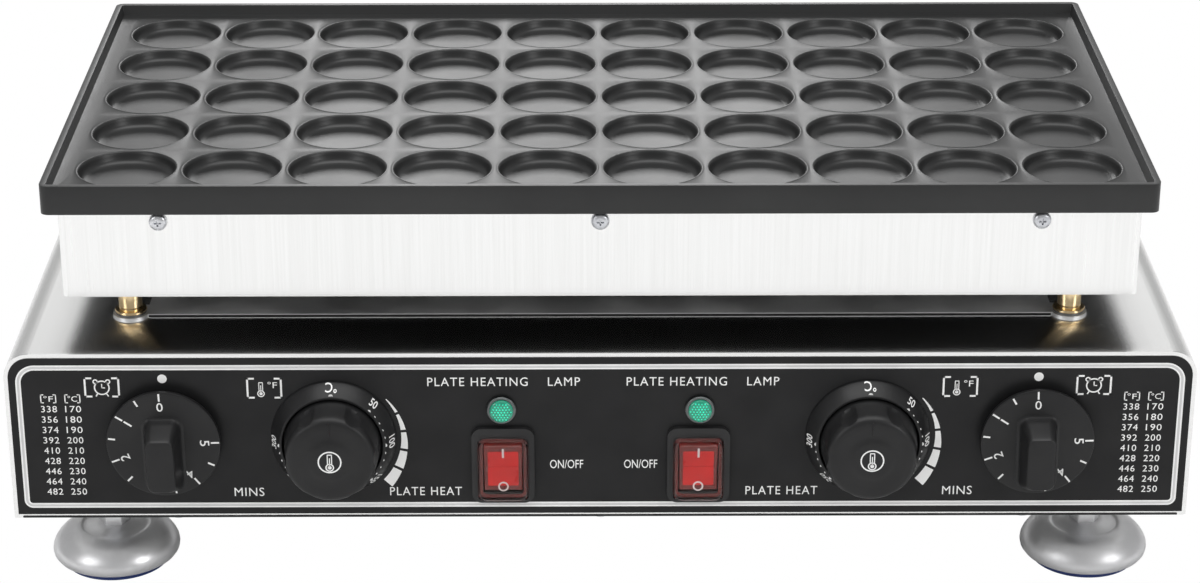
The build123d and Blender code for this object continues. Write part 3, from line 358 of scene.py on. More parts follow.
def noise(tree, vector, scale, detail=4.0, rough=0.6):
    node = tree.nodes.new("ShaderNodeTexNoise")
    node.inputs["Scale"].default_value = scale
    node.inputs["Detail"].default_value = detail
    node.inputs["Roughness"].default_value = rough
    tree.links.new(vector, node.inputs["Vector"])
    return node.outputs["Fac"]


def between(tree, factor, low, high):
    """A number that swings between two values with a factor."""
    node = tree.nodes.new("ShaderNodeMapRange")
    node.inputs["From Min"].default_value = 0.3
    node.inputs["From Max"].default_value = 0.7
    node.inputs["To Min"].default_value = low
    node.inputs["To Max"].default_value = high
    tree.links.new(factor, node.inputs["Value"])
    return node.outputs["Result"]


def shades(tree, factor, *stops):
    """A colour that runs through (place, colour) stops with a factor."""
    node = tree.nodes.new("ShaderNodeValToRGB")
    ramp = node.color_ramp
    for number, (place, colour) in enumerate(stops):
        stop = ramp.elements[number] if number < 2 else ramp.elements.new(place)
        stop.position = place
        stop.color = (*colour, 1)
    tree.links.new(factor, node.inputs["Fac"])
    return node.outputs["Color"]


def relief(tree, shader, height, strength, distance):
    node = tree.nodes.new("ShaderNodeBump")
    node.inputs["Strength"].default_value = strength
    node.inputs["Distance"].default_value = distance
    tree.links.new(height, node.inputs["Height"])
    tree.links.new(node.outputs["Normal"], shader.inputs["Normal"])


def brushed_steel(name, groove, light=0.80, dark=0.70, roughness=0.22, spread=0.06, pull=0.75, fine_scale=900):
    """Stainless sheet whose grooves run along one axis; light spreads across them."""
    material, tree, shader = finish(name, (light, light, light), roughness, 1.0)
    shader.inputs["Anisotropic"].default_value = pull
    stretch = [0.012 if run else 1.0 for run in groove]
    fine = noise(tree, where(tree, stretch), fine_scale, 3, 0.7)
    broad = noise(tree, where(tree), 7, 3, 0.5)
    tint = shades(tree, fine, (0.3, (dark, dark, dark * 0.99)), (0.7, (light, light, light * 0.995)))
    tree.links.new(tint, shader.inputs["Base Color"])
    mixed = tree.nodes.new("ShaderNodeMath")
    mixed.operation = "ADD"
    tree.links.new(between(tree, fine, -spread / 2, spread / 2), mixed.inputs[0])
    tree.links.new(between(tree, broad, roughness - spread / 2, roughness + spread / 2), mixed.inputs[1])
    tree.links.new(mixed.outputs[0], shader.inputs["Roughness"])
    relief(tree, shader, fine, 0.08, 0.00003)
    face = tree.nodes.new("ShaderNodeNewGeometry")
    cross = tree.nodes.new("ShaderNodeVectorMath")
    cross.operation = "CROSS_PRODUCT"
    cross.inputs[1].default_value = groove
    tree.links.new(face.outputs["True Normal"], cross.inputs[0])
    tree.links.new(cross.outputs["Vector"], shader.inputs["Tangent"])
    return material


def plain_metal(name, light, dark, roughness, scale=60, bump=0.15):
    """Metal with soft stains and a slightly uneven polish."""
    material, tree, shader = finish(name, light, roughness, 1.0)
    clouds = noise(tree, where(tree), scale, 5, 0.6)
    tree.links.new(shades(tree, clouds, (0.3, dark), (0.7, light)), shader.inputs["Base Color"])
    tree.links.new(between(tree, clouds, roughness * 1.3, roughness * 0.8), shader.inputs["Roughness"])
    relief(tree, shader, noise(tree, where(tree), scale * 14, 3), bump, 0.00002)
    return material


def moulded(name, light, dark, roughness, grain=1400, bump=0.25, depth=0.00005, coat=0.0, specular=0.5):
    """Moulded plastic: faint spark texture, slow changes of shade and of gloss."""
    material, tree, shader = finish(name, light, roughness)
    shader.inputs["Coat Weight"].default_value = coat
    shader.inputs["Coat Roughness"].default_value = 0.08
    shader.inputs["Specular IOR Level"].default_value = specular
    clouds = noise(tree, where(tree), 55, 4, 0.5)
    tree.links.new(shades(tree, clouds, (0.3, dark), (0.7, light)), shader.inputs["Base Color"])
    tree.links.new(between(tree, clouds, roughness * 1.15, roughness * 0.88), shader.inputs["Roughness"])
    relief(tree, shader, noise(tree, where(tree), grain, 2), bump, depth)
    return material


def tray_coating():
    """Dark non-stick coating over a casting: fine pebble, rubbed lighter in places."""
    material, tree, shader = finish("tray_coating", (0.02, 0.021, 0.021), 0.36, 0.0)
    shader.inputs["Specular IOR Level"].default_value = 0.45
    slow = noise(tree, where(tree), 14, 5, 0.6)
    tint = shades(tree, slow, (0.3, (0.010, 0.0104, 0.0106)), (0.7, (0.017, 0.0174, 0.0174)))
    tree.links.new(tint, shader.inputs["Base Color"])
    tree.links.new(between(tree, slow, 0.40, 0.33), shader.inputs["Roughness"])
    relief(tree, shader, noise(tree, where(tree), 1100, 3), 0.35, 0.00008)
    return material


TRAY_COATING = tray_coating()
STEEL_UPRIGHT = brushed_steel("steel_brushed_upright", (0, 0, 1), 0.9, 0.82, 0.24)
STEEL_DEPTHWISE = brushed_steel("steel_brushed_front_to_back", (0, 1, 0), 0.87, 0.83, 0.23, 0.015, 1.0)
STEEL_ALONG = brushed_steel("steel_brushed_along", (1, 0, 0), 0.84, 0.76, 0.2)
STEEL_SATIN = plain_metal("steel_satin_turned", (0.72, 0.72, 0.73), (0.64, 0.64, 0.65), 0.38, 40)
DARK_RING = plain_metal("ring_darkened", (0.16, 0.17, 0.17), (0.1, 0.11, 0.11), 0.3)
STEEL_SHIELD = plain_metal("steel_matt_shield", (0.86, 0.86, 0.86), (0.78, 0.78, 0.78), 0.5, 30)
WASHER_GREY = plain_metal("washer_grey", (0.25, 0.25, 0.25), (0.19, 0.19, 0.19), 0.42)
# Near-black metal for strips that paint shadow lines under sheet edges.
PAINTED_SHADOW_DARK = plain_metal("painted_shadow_dark", (0.05, 0.05, 0.05), (0.03, 0.03, 0.03), 0.5)
ZINC = plain_metal("zinc_plate", (0.7, 0.71, 0.73), (0.56, 0.57, 0.6), 0.28)
BRASS = plain_metal("turned_brass", (0.84, 0.66, 0.40), (0.70, 0.52, 0.28), 0.22, 90)
COPPER = plain_metal("drawn_copper", (0.75, 0.42, 0.28), (0.6, 0.3, 0.18), 0.3)
ELEMENT = plain_metal("heat_darkened_tube", (0.2, 0.18, 0.16), (0.09, 0.08, 0.075), 0.5)
FIBRE = moulded("ceramic_fibre", (0.82, 0.8, 0.75), (0.68, 0.66, 0.6), 0.95, 420, 0.9, 0.0006)
OVERLAY = moulded(
    "panel_black", (0.014, 0.014, 0.0145), (0.010, 0.010, 0.0105), 0.38, 1800, 0.12, 0.00002, specular=0.2
)
KNOB_BLACK = moulded("knob_black", (0.013, 0.013, 0.0135), (0.009, 0.009, 0.0095), 0.38, 1500, 0.25, specular=0.3)
PLASTIC_BLACK = moulded("housing_black", (0.018, 0.018, 0.0185), (0.012, 0.012, 0.0125), 0.42, specular=0.35)
PRINT_WHITE = moulded("white_print", (0.88, 0.88, 0.87), (0.8, 0.8, 0.79), 0.45, 2600, 0.1)
PRINT_GREY = moulded("grey_print", (0.62, 0.62, 0.62), (0.54, 0.54, 0.54), 0.45, 2600, 0.1)
PAD_BLUE = moulded("blue_pad", (0.02, 0.05, 0.22), (0.012, 0.03, 0.15), 0.5, 900, 0.4)
ROCKER_RED = moulded("rocker_dark_red", (0.17, 0.016, 0.012), (0.12, 0.01, 0.008), 0.25, 1800, 0.1, coat=0.3)


def clear_cap():
    """Soft see-through cap with a slightly wavy skin; its faint warm tint paints the red rocker's reflection in it.
    """
    material, tree, shader = finish("soft_switch_cap", (0.95, 0.88, 0.87), 0.03)
    shader.inputs["Transmission Weight"].default_value = 1.0
    shader.inputs["IOR"].default_value = 1.18
    haze = noise(tree, where(tree), 160, 3)
    # The warm tint is a painted reflection of the red rocker.
    tint = shades(tree, haze, (0.3, (0.93, 0.84, 0.83)), (0.7, (0.97, 0.92, 0.91)))
    tree.links.new(tint, shader.inputs["Base Color"])
    tree.links.new(between(tree, haze, 0.015, 0.045), shader.inputs["Roughness"])
    relief(tree, shader, noise(tree, where(tree), 90, 2), 0.05, 0.0003)
    return material


def green_lamp(name, dark, light, glow):
    """Green lamp plastic with a little glow of its own."""
    material, tree, shader = finish(name, light, 0.18)
    shader.inputs["Coat Weight"].default_value = 0.6
    depth = noise(tree, where(tree), 300, 3)
    green = shades(tree, depth, (0.3, dark), (0.7, light))
    tree.links.new(green, shader.inputs["Base Color"])
    tree.links.new(green, shader.inputs["Emission Color"])
    shader.inputs["Emission Strength"].default_value = glow
    tree.links.new(between(tree, depth, 0.14, 0.24), shader.inputs["Roughness"])
    return material


def lit_red():
    """Brighter red with a glow of its own: painted light on the rocker's windows."""
    material, tree, shader = finish("rocker_painted_glow_red", (0.75, 0.01, 0.006), 0.3)
    glow = noise(tree, where(tree), 70, 2)
    red = shades(tree, glow, (0.3, (0.4, 0.005, 0.003)), (0.7, (0.5, 0.008, 0.005)))
    tree.links.new(red, shader.inputs["Base Color"])
    tree.links.new(red, shader.inputs["Emission Color"])
    tree.links.new(between(tree, glow, 0.3, 0.45), shader.inputs["Emission Strength"])
    tree.links.new(between(tree, glow, 0.26, 0.34), shader.inputs["Roughness"])
    return material


CLEAR_CAP = clear_cap()
# The studs get a lighter green and more glow than the lens they are moulded on: a painted highlight on their facets.
GREEN_STUD_PAINTED_HIGHLIGHT = green_lamp("lamp_green_painted_highlight", (0.01, 0.5, 0.3), (0.04, 0.85, 0.55), 0.35)
GREEN_DEEP = green_lamp("lamp_green_deep", (0.004, 0.2, 0.12), (0.006, 0.3, 0.18), 0.12)
# Painted glow for the rocker windows, brighter than the rocker's own red.
RED_PAINTED_GLOW = lit_red()


def coat(piece, material):
    piece.data.materials.clear()
    piece.data.materials.append(material)
    return piece


def fit(piece, material, body, slot, *stands_for):
    """Give a finished piece its finish, the body it moves with and the nodes it stands for; the slot is not used."""
    coat(piece, material)
    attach(piece, body)
    if stands_for:
        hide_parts(*stands_for)
    return piece


# Baking tray: raised rim and fifty shallow wells with soft floors

def make_well_cell():
    """One square of the plate with its well: floor, soft wall, raised lip and flat ground round it."""
    lip = WELL_RADIUS + 1.5
    cell = turned(
        "well_cell",
        [(9.0, -5.5), (16.5, -5.48), (WELL_RADIUS - 4.2, -5.4), (WELL_RADIUS - 2.6, -5.05),
         (WELL_RADIUS - 1.5, -4.3), (WELL_RADIUS - 0.9, -3.2), (WELL_RADIUS - 0.45, -1.6), (WELL_RADIUS - 0.15, -0.6),
         (WELL_RADIUS + 0.15, -0.12), (WELL_RADIUS + 0.5, 0.14), (WELL_RADIUS + 0.85, 0.2), (WELL_RADIUS + 1.2, 0.1),
         (lip, 0.0)],
        64, "closed", "open",
    )
    edit(cell)
    choose(cell, "verts", lambda c, v: abs(math.hypot(c.x, c.y) - lip) < 0.001)
    bpy.ops.mesh.extrude_region_move(TRANSFORM_OT_translate={"value": (0, 0, 0)})
    cage = bmesh.from_edit_mesh(cell.data)
    for vertex in cage.verts:
        if vertex.select:
            reach = max(abs(vertex.co.x), abs(vertex.co.y))
            vertex.co *= WELL_PITCH / 2 * MM / reach
            vertex.co.z = 0
    bmesh.update_edit_mesh(cell.data)
    leave_edit()
    return cell


def make_tray():
    """Cast tray: raised rim, fifty wells made from one cell, and a flat strip between wells and rim."""
    tray = rounded_plate("tray_casting", TRAY_WIDTH, TRAY_DEPTH, 4.0, RIM_TOP - TRAY_BOTTOM, 6)
    put(tray, 0, 0, TRAY_BOTTOM)
    edit(tray)
    choose(tray, "faces", lambda c, f: c.z > RIM_TOP - 0.01 and f.normal.z > 0.9)
    bpy.ops.mesh.inset(thickness=3.0 * MM, use_even_offset=True)
    bpy.ops.mesh.inset(thickness=1.2 * MM, depth=-(RIM_TOP - TRAY_PLATE) * MM, use_even_offset=True)
    leave_edit()
    bevel_edges(tray, 0.7, 3, 30)
    edit(tray)
    choose(tray, "faces", lambda c, f: abs(c.z - TRAY_PLATE) < 0.01 and f.normal.z > 0.9 and f.calc_area() > 0.1)
    bpy.ops.mesh.delete(type="ONLY_FACE")
    leave_edit()
    cell = make_well_cell()
    cells = []
    for column in range(10):
        for row in range(5):
            copy = twin(cell, f"well_{column}_{row}")
            cells.append(put(copy, (column - 4.5) * WELL_PITCH, (row - 2) * WELL_PITCH, TRAY_PLATE))
    bpy.data.objects.remove(cell)
    wells = outwards(join(cells, "wells"))
    tray = join([tray, wells], "tray_casting")
    edit(tray)
    choose(tray, "edges", lambda c, e: e.is_boundary and abs(c.z - TRAY_PLATE) < 0.01)
    bpy.ops.mesh.bridge_edge_loops()
    leave_edit()
    outwards(tray)
    smooth(tray, 40)
    return fit(tray, TRAY_COATING, "machine", "nonstick_casting", "baking_tray")


# Printed sheet on the panel

def make_panel_line():
    """Double pale line round the panel on a grey ground."""
    middle = (BASE_BOTTOM + BASE_TOP) / 2
    for name, far, near, material, lift in (
        ("panel_line_ground", 5.4, 7.9, PRINT_GREY, 0.03),
        ("panel_line_outer", 5.4, 6.1, PRINT_WHITE, 0.05),
        ("panel_line_inner", 7.2, 7.9, PRINT_WHITE, 0.05),
    ):
        band = rounded_plate(
            name, BASE_WIDTH - 2 * far, BASE_TOP - BASE_BOTTOM - 2 * far, 14.4 - far, lift, 10, 9.4 - far
        )
        edit(band)
        choose(band, "faces", lambda c, f: abs(f.normal.z) > 0.9)
        bpy.ops.mesh.inset(thickness=(near - far) * MM, use_even_offset=True)
        bpy.ops.mesh.bridge_edge_loops()
        leave_edit()
        outwards(band)
        on_panel(band, 0, middle)
        fit(band, material, "machine", "overlay")


def make_panel_marks():
    """Number tables, small signs and index dots printed on the panel, in panel coordinates."""
    marks = []
    for sign in SIDES.values():
        left = sign < 0
        first, second = (-256.4, -245.2) if left else (247.0, 258.2)
        for row in range(9):
            celsius = 170 + 10 * row
            high = 99.3 - 5.36 * row
            for x, number in ((first, celsius * 9 // 5 + 32), (second, celsius)):
                marks.append(lettering("figures", str(number), 4.7, (x, high), spread=1.1, wide=7.4))
        for x, sign_text in ((first, "°F"), (second, "°C")):
            marks.append(lettering("unit", sign_text, 4.0, (x, 104.6), wide=4.4))
            marks += brackets(x, 104.6, 6.9, 4.6, 0.5, 1.3)
        clock_x = -231.2 if left else 228.9
        marks += brackets(clock_x, 110.4, 15.6, 10.2, 0.9, 3.2)
        marks += clock_sign(clock_x, 110.2)
        gauge_x = -156.0 if left else 166.9
        marks += brackets(gauge_x, 109.8, 15.6, 10.6, 0.9, 3.2)
        marks += thermometer_sign(gauge_x - 1.6, 109.6, 1.0)
        marks.append(lettering("unit", "°F", 4.4, (gauge_x + 3.8, 111.4), wide=4.4))
        marks.append(spot("index_dot", (sign * 203.1, 114.7), 2.2))
        marks.append(lettering("sign", "MINS", 6.3, (-165.2 if left else 167.7, 56.0), spread=1.1, wide=14.0))
        marks.append(lettering("sign", "PLATE HEAT", 6.3, (-82.2 if left else 85.0, 56.2), spread=1.15, wide=33.8))
        marks.append(lettering("sign", "ON/OFF", 6.3, (-16.0 if left else 18.7, 70.2), wide=15.6))
        marks.append(
            lettering("sign", "PLATE HEATING    LAMP", 6.3, (-45.0 if left else 47.4, 112.8), spread=1.15, wide=70.8)
        )
        centre = Matrix.Translation((sign * THERMOSTAT_X * MM, CONTROL_HEIGHT * MM, 0))
        for number in range(5):
            start, stop = 51.5 + 16.9 * number, 66.1 + 16.9 * number
            band = arc_band("heat_arc", 31.6, 32.0 + number, 31.6, 33.0 + number, start, stop)
            band.data.transform(centre)
            marks.append(band)
    panel = join(marks, "panel_marks")
    on_panel(panel, 0, 0)
    return fit(panel, PRINT_WHITE, "machine", "overlay")


def brackets(x, z, wide, high, line, arm):
    """A pair of square brackets round a sign."""
    found = []
    for side in (-1, 1):
        edge = x + side * wide / 2
        found.append(stroke("bracket", (edge, z - high / 2), (edge, z + high / 2), line))
        for end in (-1, 1):
            level = z + end * (high - line) / 2
            found.append(stroke("bracket", (edge + side * line / 2, level), (edge - side * arm, level), line))
    return found


def clock_sign(x, z):
    """Round clock with two bells and two legs."""
    found = [spot("clock", (x, z), 3.7, 3.05, 40)]
    for side in (-1, 1):
        found.append(spot("clock", (x + side * 2.9, z + 3.1), 1.25, 0.65, 20))
        found.append(stroke("clock", (x + side * 2.1, z - 3.1), (x + side * 2.9, z - 4.4), 0.6))
    found.append(stroke("clock", (x, z - 0.2), (x, z + 2.0), 0.5))
    found.append(stroke("clock", (x - 0.2, z), (x + 1.5, z - 0.1), 0.5))
    return found


def thermometer_sign(x, z, size):
    """Bulb and tube of a thermometer."""
    return [
        spot("gauge", (x, z - 2.6 * size), 1.75 * size, 1.25 * size, 28),
        spot("gauge", (x, z - 2.6 * size), 0.8 * size, 0, 20),
        stroke("gauge", (x, z - 2.4 * size), (x, z + 1.6 * size), 0.4 * size),
        stroke("gauge", (x - 0.85 * size, z - 1.2 * size), (x - 0.85 * size, z + 2.9 * size), 0.4 * size),
        stroke("gauge", (x + 0.85 * size, z - 1.2 * size), (x + 0.85 * size, z + 2.9 * size), 0.4 * size),
        stroke("gauge", (x - 0.95 * size, z + 3.0 * size), (x + 0.95 * size, z + 3.0 * size), 0.45 * size),
    ]


# Timers

def make_timer_knob():
    """Flat round skirt with a flared bar grip, made flat at the origin."""
    skirt = turned(
        "timer_skirt",
        [(8.0, 1.8), (8.0, 4.0), (25.6, 4.0), (26.3, 4.25), (26.55, 4.7), (26.55, 6.3), (26.4, 6.75), (26.0, 6.97),
         (25.5, 7.0), (12.0, 7.0)],
        128,
    )
    grip = rounded_plate("timer_grip", 19.8, 37.8, 5.0, 0.4, 6)
    take(grip)
    grip.location = (0, -4.9 * MM, 6.7 * MM)
    settle(grip)
    edit(grip)
    choose(grip, "faces", lambda c, f: f.normal.z > 0.9)
    wide, tall, middle, level = 19.8, 37.8, -4.9, 7.1
    for next_wide, next_tall, next_middle, next_level in (
        (18.0, 36.8, -5.2, 7.4), (16.8, 36.0, -5.3, 8.3), (15.9, 35.3, -5.3, 9.8), (15.2, 33.6, -5.2, 12.0),
        (14.2, 29.8, -4.9, 17.0), (13.5, 27.0, -4.7, 20.4), (13.1, 26.2, -4.65, 21.3), (12.3, 25.4, -4.65, 21.85),
        (11.0, 24.1, -4.65, 22.0),
    ):
        bpy.ops.mesh.extrude_region_move(TRANSFORM_OT_translate={"value": (0, 0, (next_level - level) * MM)})
        bpy.ops.transform.resize(
            value=(next_wide / wide, next_tall / tall, 1), center_override=(0, middle * MM, next_level * MM)
        )
        bpy.ops.transform.translate(value=(0, (next_middle - middle) * MM, 0))
        wide, tall, middle, level = next_wide, next_tall, next_middle, next_level
    leave_edit()
    knob = join([skirt, grip], "timer_knob_form")
    return smooth(knob, 38)


def make_timer_marks():
    """Ticks for half minutes and figures for whole ones, running anticlockwise from the top."""
    marks = []
    for half in range(11):
        if half == HIDDEN_TICK:
            continue
        turn = math.radians(TICK_STEP * half)
        whole = half % 2 == 0
        inner, outer = (22.1, 26.0) if whole else (22.4, 25.7)
        marks.append(
            stroke("tick", (-outer * math.sin(turn), outer * math.cos(turn)),
                   (-inner * math.sin(turn), inner * math.cos(turn)), 0.85)
        )
        if whole:
            minute = str(half // 2)
            reach = 19.2
            marks.append(
                lettering("minute", minute, 6.2, (-reach * math.sin(turn), reach * math.cos(turn)), turn,
                          weight=0.03, wide=0.85 if minute == "1" else 3.0)
            )
    return join(marks, "timer_marks_form")


# Thermostats

def make_dial():
    """Sloping ring round the thermostat grip."""
    return smooth(turned(
        "dial_form",
        [(23.25, 0.0), (29.0, 0.0), (29.25, 0.3), (29.2, 1.0), (28.9, 1.6), (24.9, 8.1), (24.5, 8.5), (24.1, 8.6),
         (23.6, 8.55), (23.3, 8.2), (23.25, 7.6), (23.25, 0.0)],
        144, "open", "open",
    ), 30)


def make_dial_marks():
    """Dots and figures on the sloping dial, clockwise from the top; each is laid on the slope."""
    marks = []

    def lay(piece, reach, turn, tilt=True):
        """Lay a flat mark made at the origin on the cone at a clockwise turn, drawn out down the slope."""
        share = (29.0 - reach) / (29.0 - 24.5)
        lift = 1.5 + share * (8.4 - 1.5)
        slope = math.atan2(8.1 - 1.6, 28.9 - 24.9)
        matrix = (
            Matrix.Rotation(-turn, 4, "Z")
            @ Matrix.Translation((0, reach * MM, (lift + 0.05) * MM))
            @ Matrix.Rotation(-slope if tilt else 0.0, 4, "X")
            @ Matrix.Diagonal((1.0, 1.3 if tilt else 1.0, 1.0, 1.0))
        )
        piece.data.transform(matrix)
        return piece

    for step in range(26):
        turn = math.radians(DIAL_START + 9 * step)
        marks.append(lay(spot("dot", (0, 0), 0.55 if step % 5 else 0.85, 0, 16), 24.65, turn, False))
    marks.append(lay(spot("dot", (0, 0), 1.1, 0, 20), 24.9, 0.0, False))
    for number in range(6):
        label = lettering("heat", str(50 + 50 * number), 4.9, (0, 0), 0.0, weight=0.05, wide=6.2 if number else 4.0)
        marks.append(lay(label, 27.45, math.radians(DIAL_START + 45 * number)))
    unit = lettering("unit", "°C", 6.0, (0, 0), math.pi, weight=0.06, wide=5.4)
    marks.append(lay(unit, 27.5, 0.0))
    return join(marks, "dial_marks_form")


def make_thermostat_knob():
    """Tapered grip with six soft thumb hollows, a gently dished face and a flush round cap."""
    grip = turned(
        "grip_body",
        [(22.2, 1.5), (22.6, 1.9), (22.6, 7.4), (22.45, 8.2), (22.1, 8.8), (21.5, 20.6), (21.2, 22.3), (20.6, 23.6),
         (19.7, 24.6), (18.4, 25.15), (15.2, 25.1), (12.4, 25.05), (10.6, 25.25), (9.6, 25.6), (8.4, 25.85),
         (6.5, 26.0), (5.0, 26.02)],
        192,
    )
    cutters = []
    for number in range(6):
        turn = math.radians(30 + 60 * number)
        cutter = turned("hollow", [(6.0, 9.3), (8.4, 9.7), (9.8, 10.8), (10.6, 13.0), (11.2, 18.0), (11.9, 30.0)], 72)
        cutters.append(put(cutter, 31.6 * math.sin(turn), 31.6 * math.cos(turn), 0))
    cut(grip, join(cutters, "hollows"))
    bevel_edges(grip, 1.0, 4, 34)
    pointer = block("grip_pointer", (0.7, 6.8, 1.0), (0, 15.6, 24.95))
    bevel_edges(pointer, 0.25, 2, 30)
    return smooth(join([grip, pointer], "thermostat_knob_form"), 40)


def make_knob_sign():
    """Thermometer in a ring, printed on the face of the grip."""
    return join([spot("ring", (0, 0), 5.5, 4.85, 56)] + thermometer_sign(0, 0.3, 1.15), "knob_sign_form")


# Lamps and switches

def make_lens():
    """Lens with a softly domed face."""
    return smooth(turned(
        "lens_form", [(5.5, 0.0), (5.5, 2.4), (5.3, 2.75), (4.6, 3.05), (3.0, 3.3), (1.0, 3.4)], 64
    ), 50)


def make_lens_studs():
    """Close rows of small six-sided pyramids moulded on the lens."""
    studs = []
    for row in range(-3, 4):
        for column in range(-4, 5):
            x = (column + (0.5 if row % 2 else 0.0)) * 1.46
            y = row * 1.27
            reach = math.hypot(x, y)
            if reach < 4.8:
                nothing_selected()
                lift = 3.42 - 0.6 * (reach / 5.2) ** 2
                bpy.ops.mesh.primitive_cone_add(
                    vertices=6, radius1=0.66 * MM, radius2=0.3 * MM, depth=0.56 * MM,
                    location=(x * MM, y * MM, lift * MM),
                )
                studs.append(settle(fresh("stud")))
    return join(studs, "lens_studs_form")


def make_rocker(name, x):
    """Side outline of the rocker pulled out to its width, with its lower half pressed in."""
    outline = [
        (-KEY_VALLEY, 0.0), (-5.3, 12.1), (-3.0, 12.85), (3.5, 12.7), (3.5, -12.7), (-3.0, -12.85), (-5.3, -12.1)
    ]
    nothing_selected()
    bpy.ops.mesh.primitive_circle_add(vertices=len(outline), radius=1, fill_type="NGON")
    piece = settle(fresh(name))
    for vertex, (y, z) in zip(piece.data.vertices, outline):
        vertex.co = (-9.1 * MM, y * MM, z * MM)
    edit(piece)
    bpy.ops.mesh.select_all(action="SELECT")
    bpy.ops.mesh.extrude_region_move(TRANSFORM_OT_translate={"value": (18.2 * MM, 0, 0)})
    leave_edit()
    outwards(piece)
    bevel_edges(piece, 0.8, 5, 25)
    smooth(piece, 30)
    return put(piece, x, PANEL_FRONT + KEY_DEPTH, SWITCH_Z, (KEY_TILT, 0, 0))


def on_key(piece, x, up, proud):
    """Lay a flat piece on the upper or lower face of a rocker at rest."""
    lean = math.copysign(KEY_SLOPE, up)
    piece.data.transform(
        Matrix.Translation((x * MM, (PANEL_FRONT + KEY_DEPTH) * MM, SWITCH_Z * MM))
        @ Matrix.Rotation(KEY_TILT, 4, "X")
        @ Matrix.Translation((0, -KEY_VALLEY * MM, 0))
        @ Matrix.Rotation(lean, 4, "X")
        @ Matrix.Translation((0, -proud * MM, up * MM))
        @ Matrix.Rotation(math.pi / 2, 4, "X")
    )
    return piece


def make_cover():
    """Clear cap with a soft face over the rocker, open behind."""
    cap = rounded_plate("cap_form", 23.4, 31.8, 4.4, 4.9, 8)
    edit(cap)
    choose(cap, "faces", lambda c, f: f.normal.z < -0.9)
    bpy.ops.mesh.delete(type="FACE")
    choose(cap, "edges", lambda c, e: c.z > 4.89)
    bpy.ops.mesh.bevel(offset=1.6 * MM, segments=6, affect="EDGES")
    leave_edit()
    take(cap)
    wall = cap.modifiers.new("wall", "SOLIDIFY")
    wall.thickness = 0.6 * MM
    wall.offset = -1
    bpy.ops.object.modifier_apply(modifier=wall.name)
    return smooth(cap, 30)


def make_switch_frame():
    """Rounded black frame with a window for the cap, and the closed body behind the panel."""
    surround = rounded_plate("switch_frame_form", 29.3, 38.5, 4.8, 2.6, 8)
    put(surround, 0, 0.75, 0)
    edit(surround)
    choose(surround, "faces", lambda c, f: f.normal.z > 0.9)
    bpy.ops.mesh.inset(thickness=2.85 * MM, use_even_offset=True)
    bpy.ops.transform.translate(value=(0, -1.85 * MM, 0))
    bpy.ops.transform.resize(value=(1, 0.975, 1), center_override=(0, -1.1 * MM, 0))
    bpy.ops.mesh.extrude_region_move(TRANSFORM_OT_translate={"value": (0, 0, -1.6 * MM)})
    bpy.ops.mesh.inset(thickness=2.4 * MM, use_even_offset=True)
    bpy.ops.transform.translate(value=(0, 1.1 * MM, 0))
    bpy.ops.mesh.extrude_region_move(TRANSFORM_OT_translate={"value": (0, 0, -13.0 * MM)})
    choose(surround, "faces", lambda c, f: f.normal.z < -0.9 and abs(c.z) < 0.01)
    bpy.ops.mesh.inset(thickness=4.0 * MM, use_even_offset=True)
    bpy.ops.transform.translate(value=(0, -0.75 * MM, 0))
    bpy.ops.mesh.extrude_region_move(TRANSFORM_OT_translate={"value": (0, 0, -26.0 * MM)})
    leave_edit()
    outwards(surround)
    bevel_edges(surround, 0.7, 4, 50)
    blades = [block("blade", (6.3, 0.8, 8.0), (0, up, -30.0)) for up in (-5.0, 5.0)]
    return smooth(join([surround] + blades, "switch_frame_form"), 35)


# Feet, pillars and screws

def make_bell():
    """Satin steel bell with a dished top, a collar and a hexagon for the spanner."""
    bell = turned(
        "bell_form",
        [(25.1, 4.5), (25.1, 2.5), (25.5, 2.5), (27.4, 2.9), (29.2, 3.9), (30.3, 5.4), (30.65, 7.2), (30.4, 9.0),
         (29.6, 10.9), (28.4, 12.7), (26.9, 14.4), (25.1, 15.9), (23.1, 17.0), (20.9, 17.8), (18.7, 18.3),
         (17.2, 18.5), (16.5, 18.35), (16.0, 18.0), (15.3, 17.85), (13.4, 18.2), (11.4, 18.9), (10.0, 19.6),
         (8.8, 20.1), (7.0, 20.3), (6.2, 20.2), (6.08, 19.8), (6.08, 8.0)],
        128,
    )
    nothing_selected()
    bpy.ops.mesh.primitive_cylinder_add(vertices=6, radius=7.506 * MM, depth=8.4 * MM, location=(0, 0, 21.25 * MM),
                                        rotation=(0, 0, math.pi / 6))
    hexagon = settle(fresh("bell_hexagon"))
    bevel_edges(hexagon, 0.5, 3, 30)
    return smooth(join([bell, hexagon], "bell_form"), 40)


def make_pillar():
    """Turned post with a waist ring, a plain flange and the stud through both sheets."""
    post = turned(
        "pillar_post",
        [(5.6, 2.2), (5.6, 3.2), (5.3, 3.6), (5.6, 4.0), (5.6, 12.6), (5.3, 13.4), (4.9, 14.0)],
        64,
    )
    flange = turned(
        "pillar_flange",
        [(5.0, 0.95), (7.0, 0.95), (7.4, 1.05), (7.6, 1.3), (7.6, 1.95), (7.35, 2.3), (6.9, 2.4), (5.9, 2.4)], 72
    )
    stud = turned("pillar_stud", [(2.8, -9.0), (3.0, -8.7), (3.0, 22.7), (2.8, 23.0)], 32)
    return smooth(join([post, flange, stud], "pillar_form"), 30)


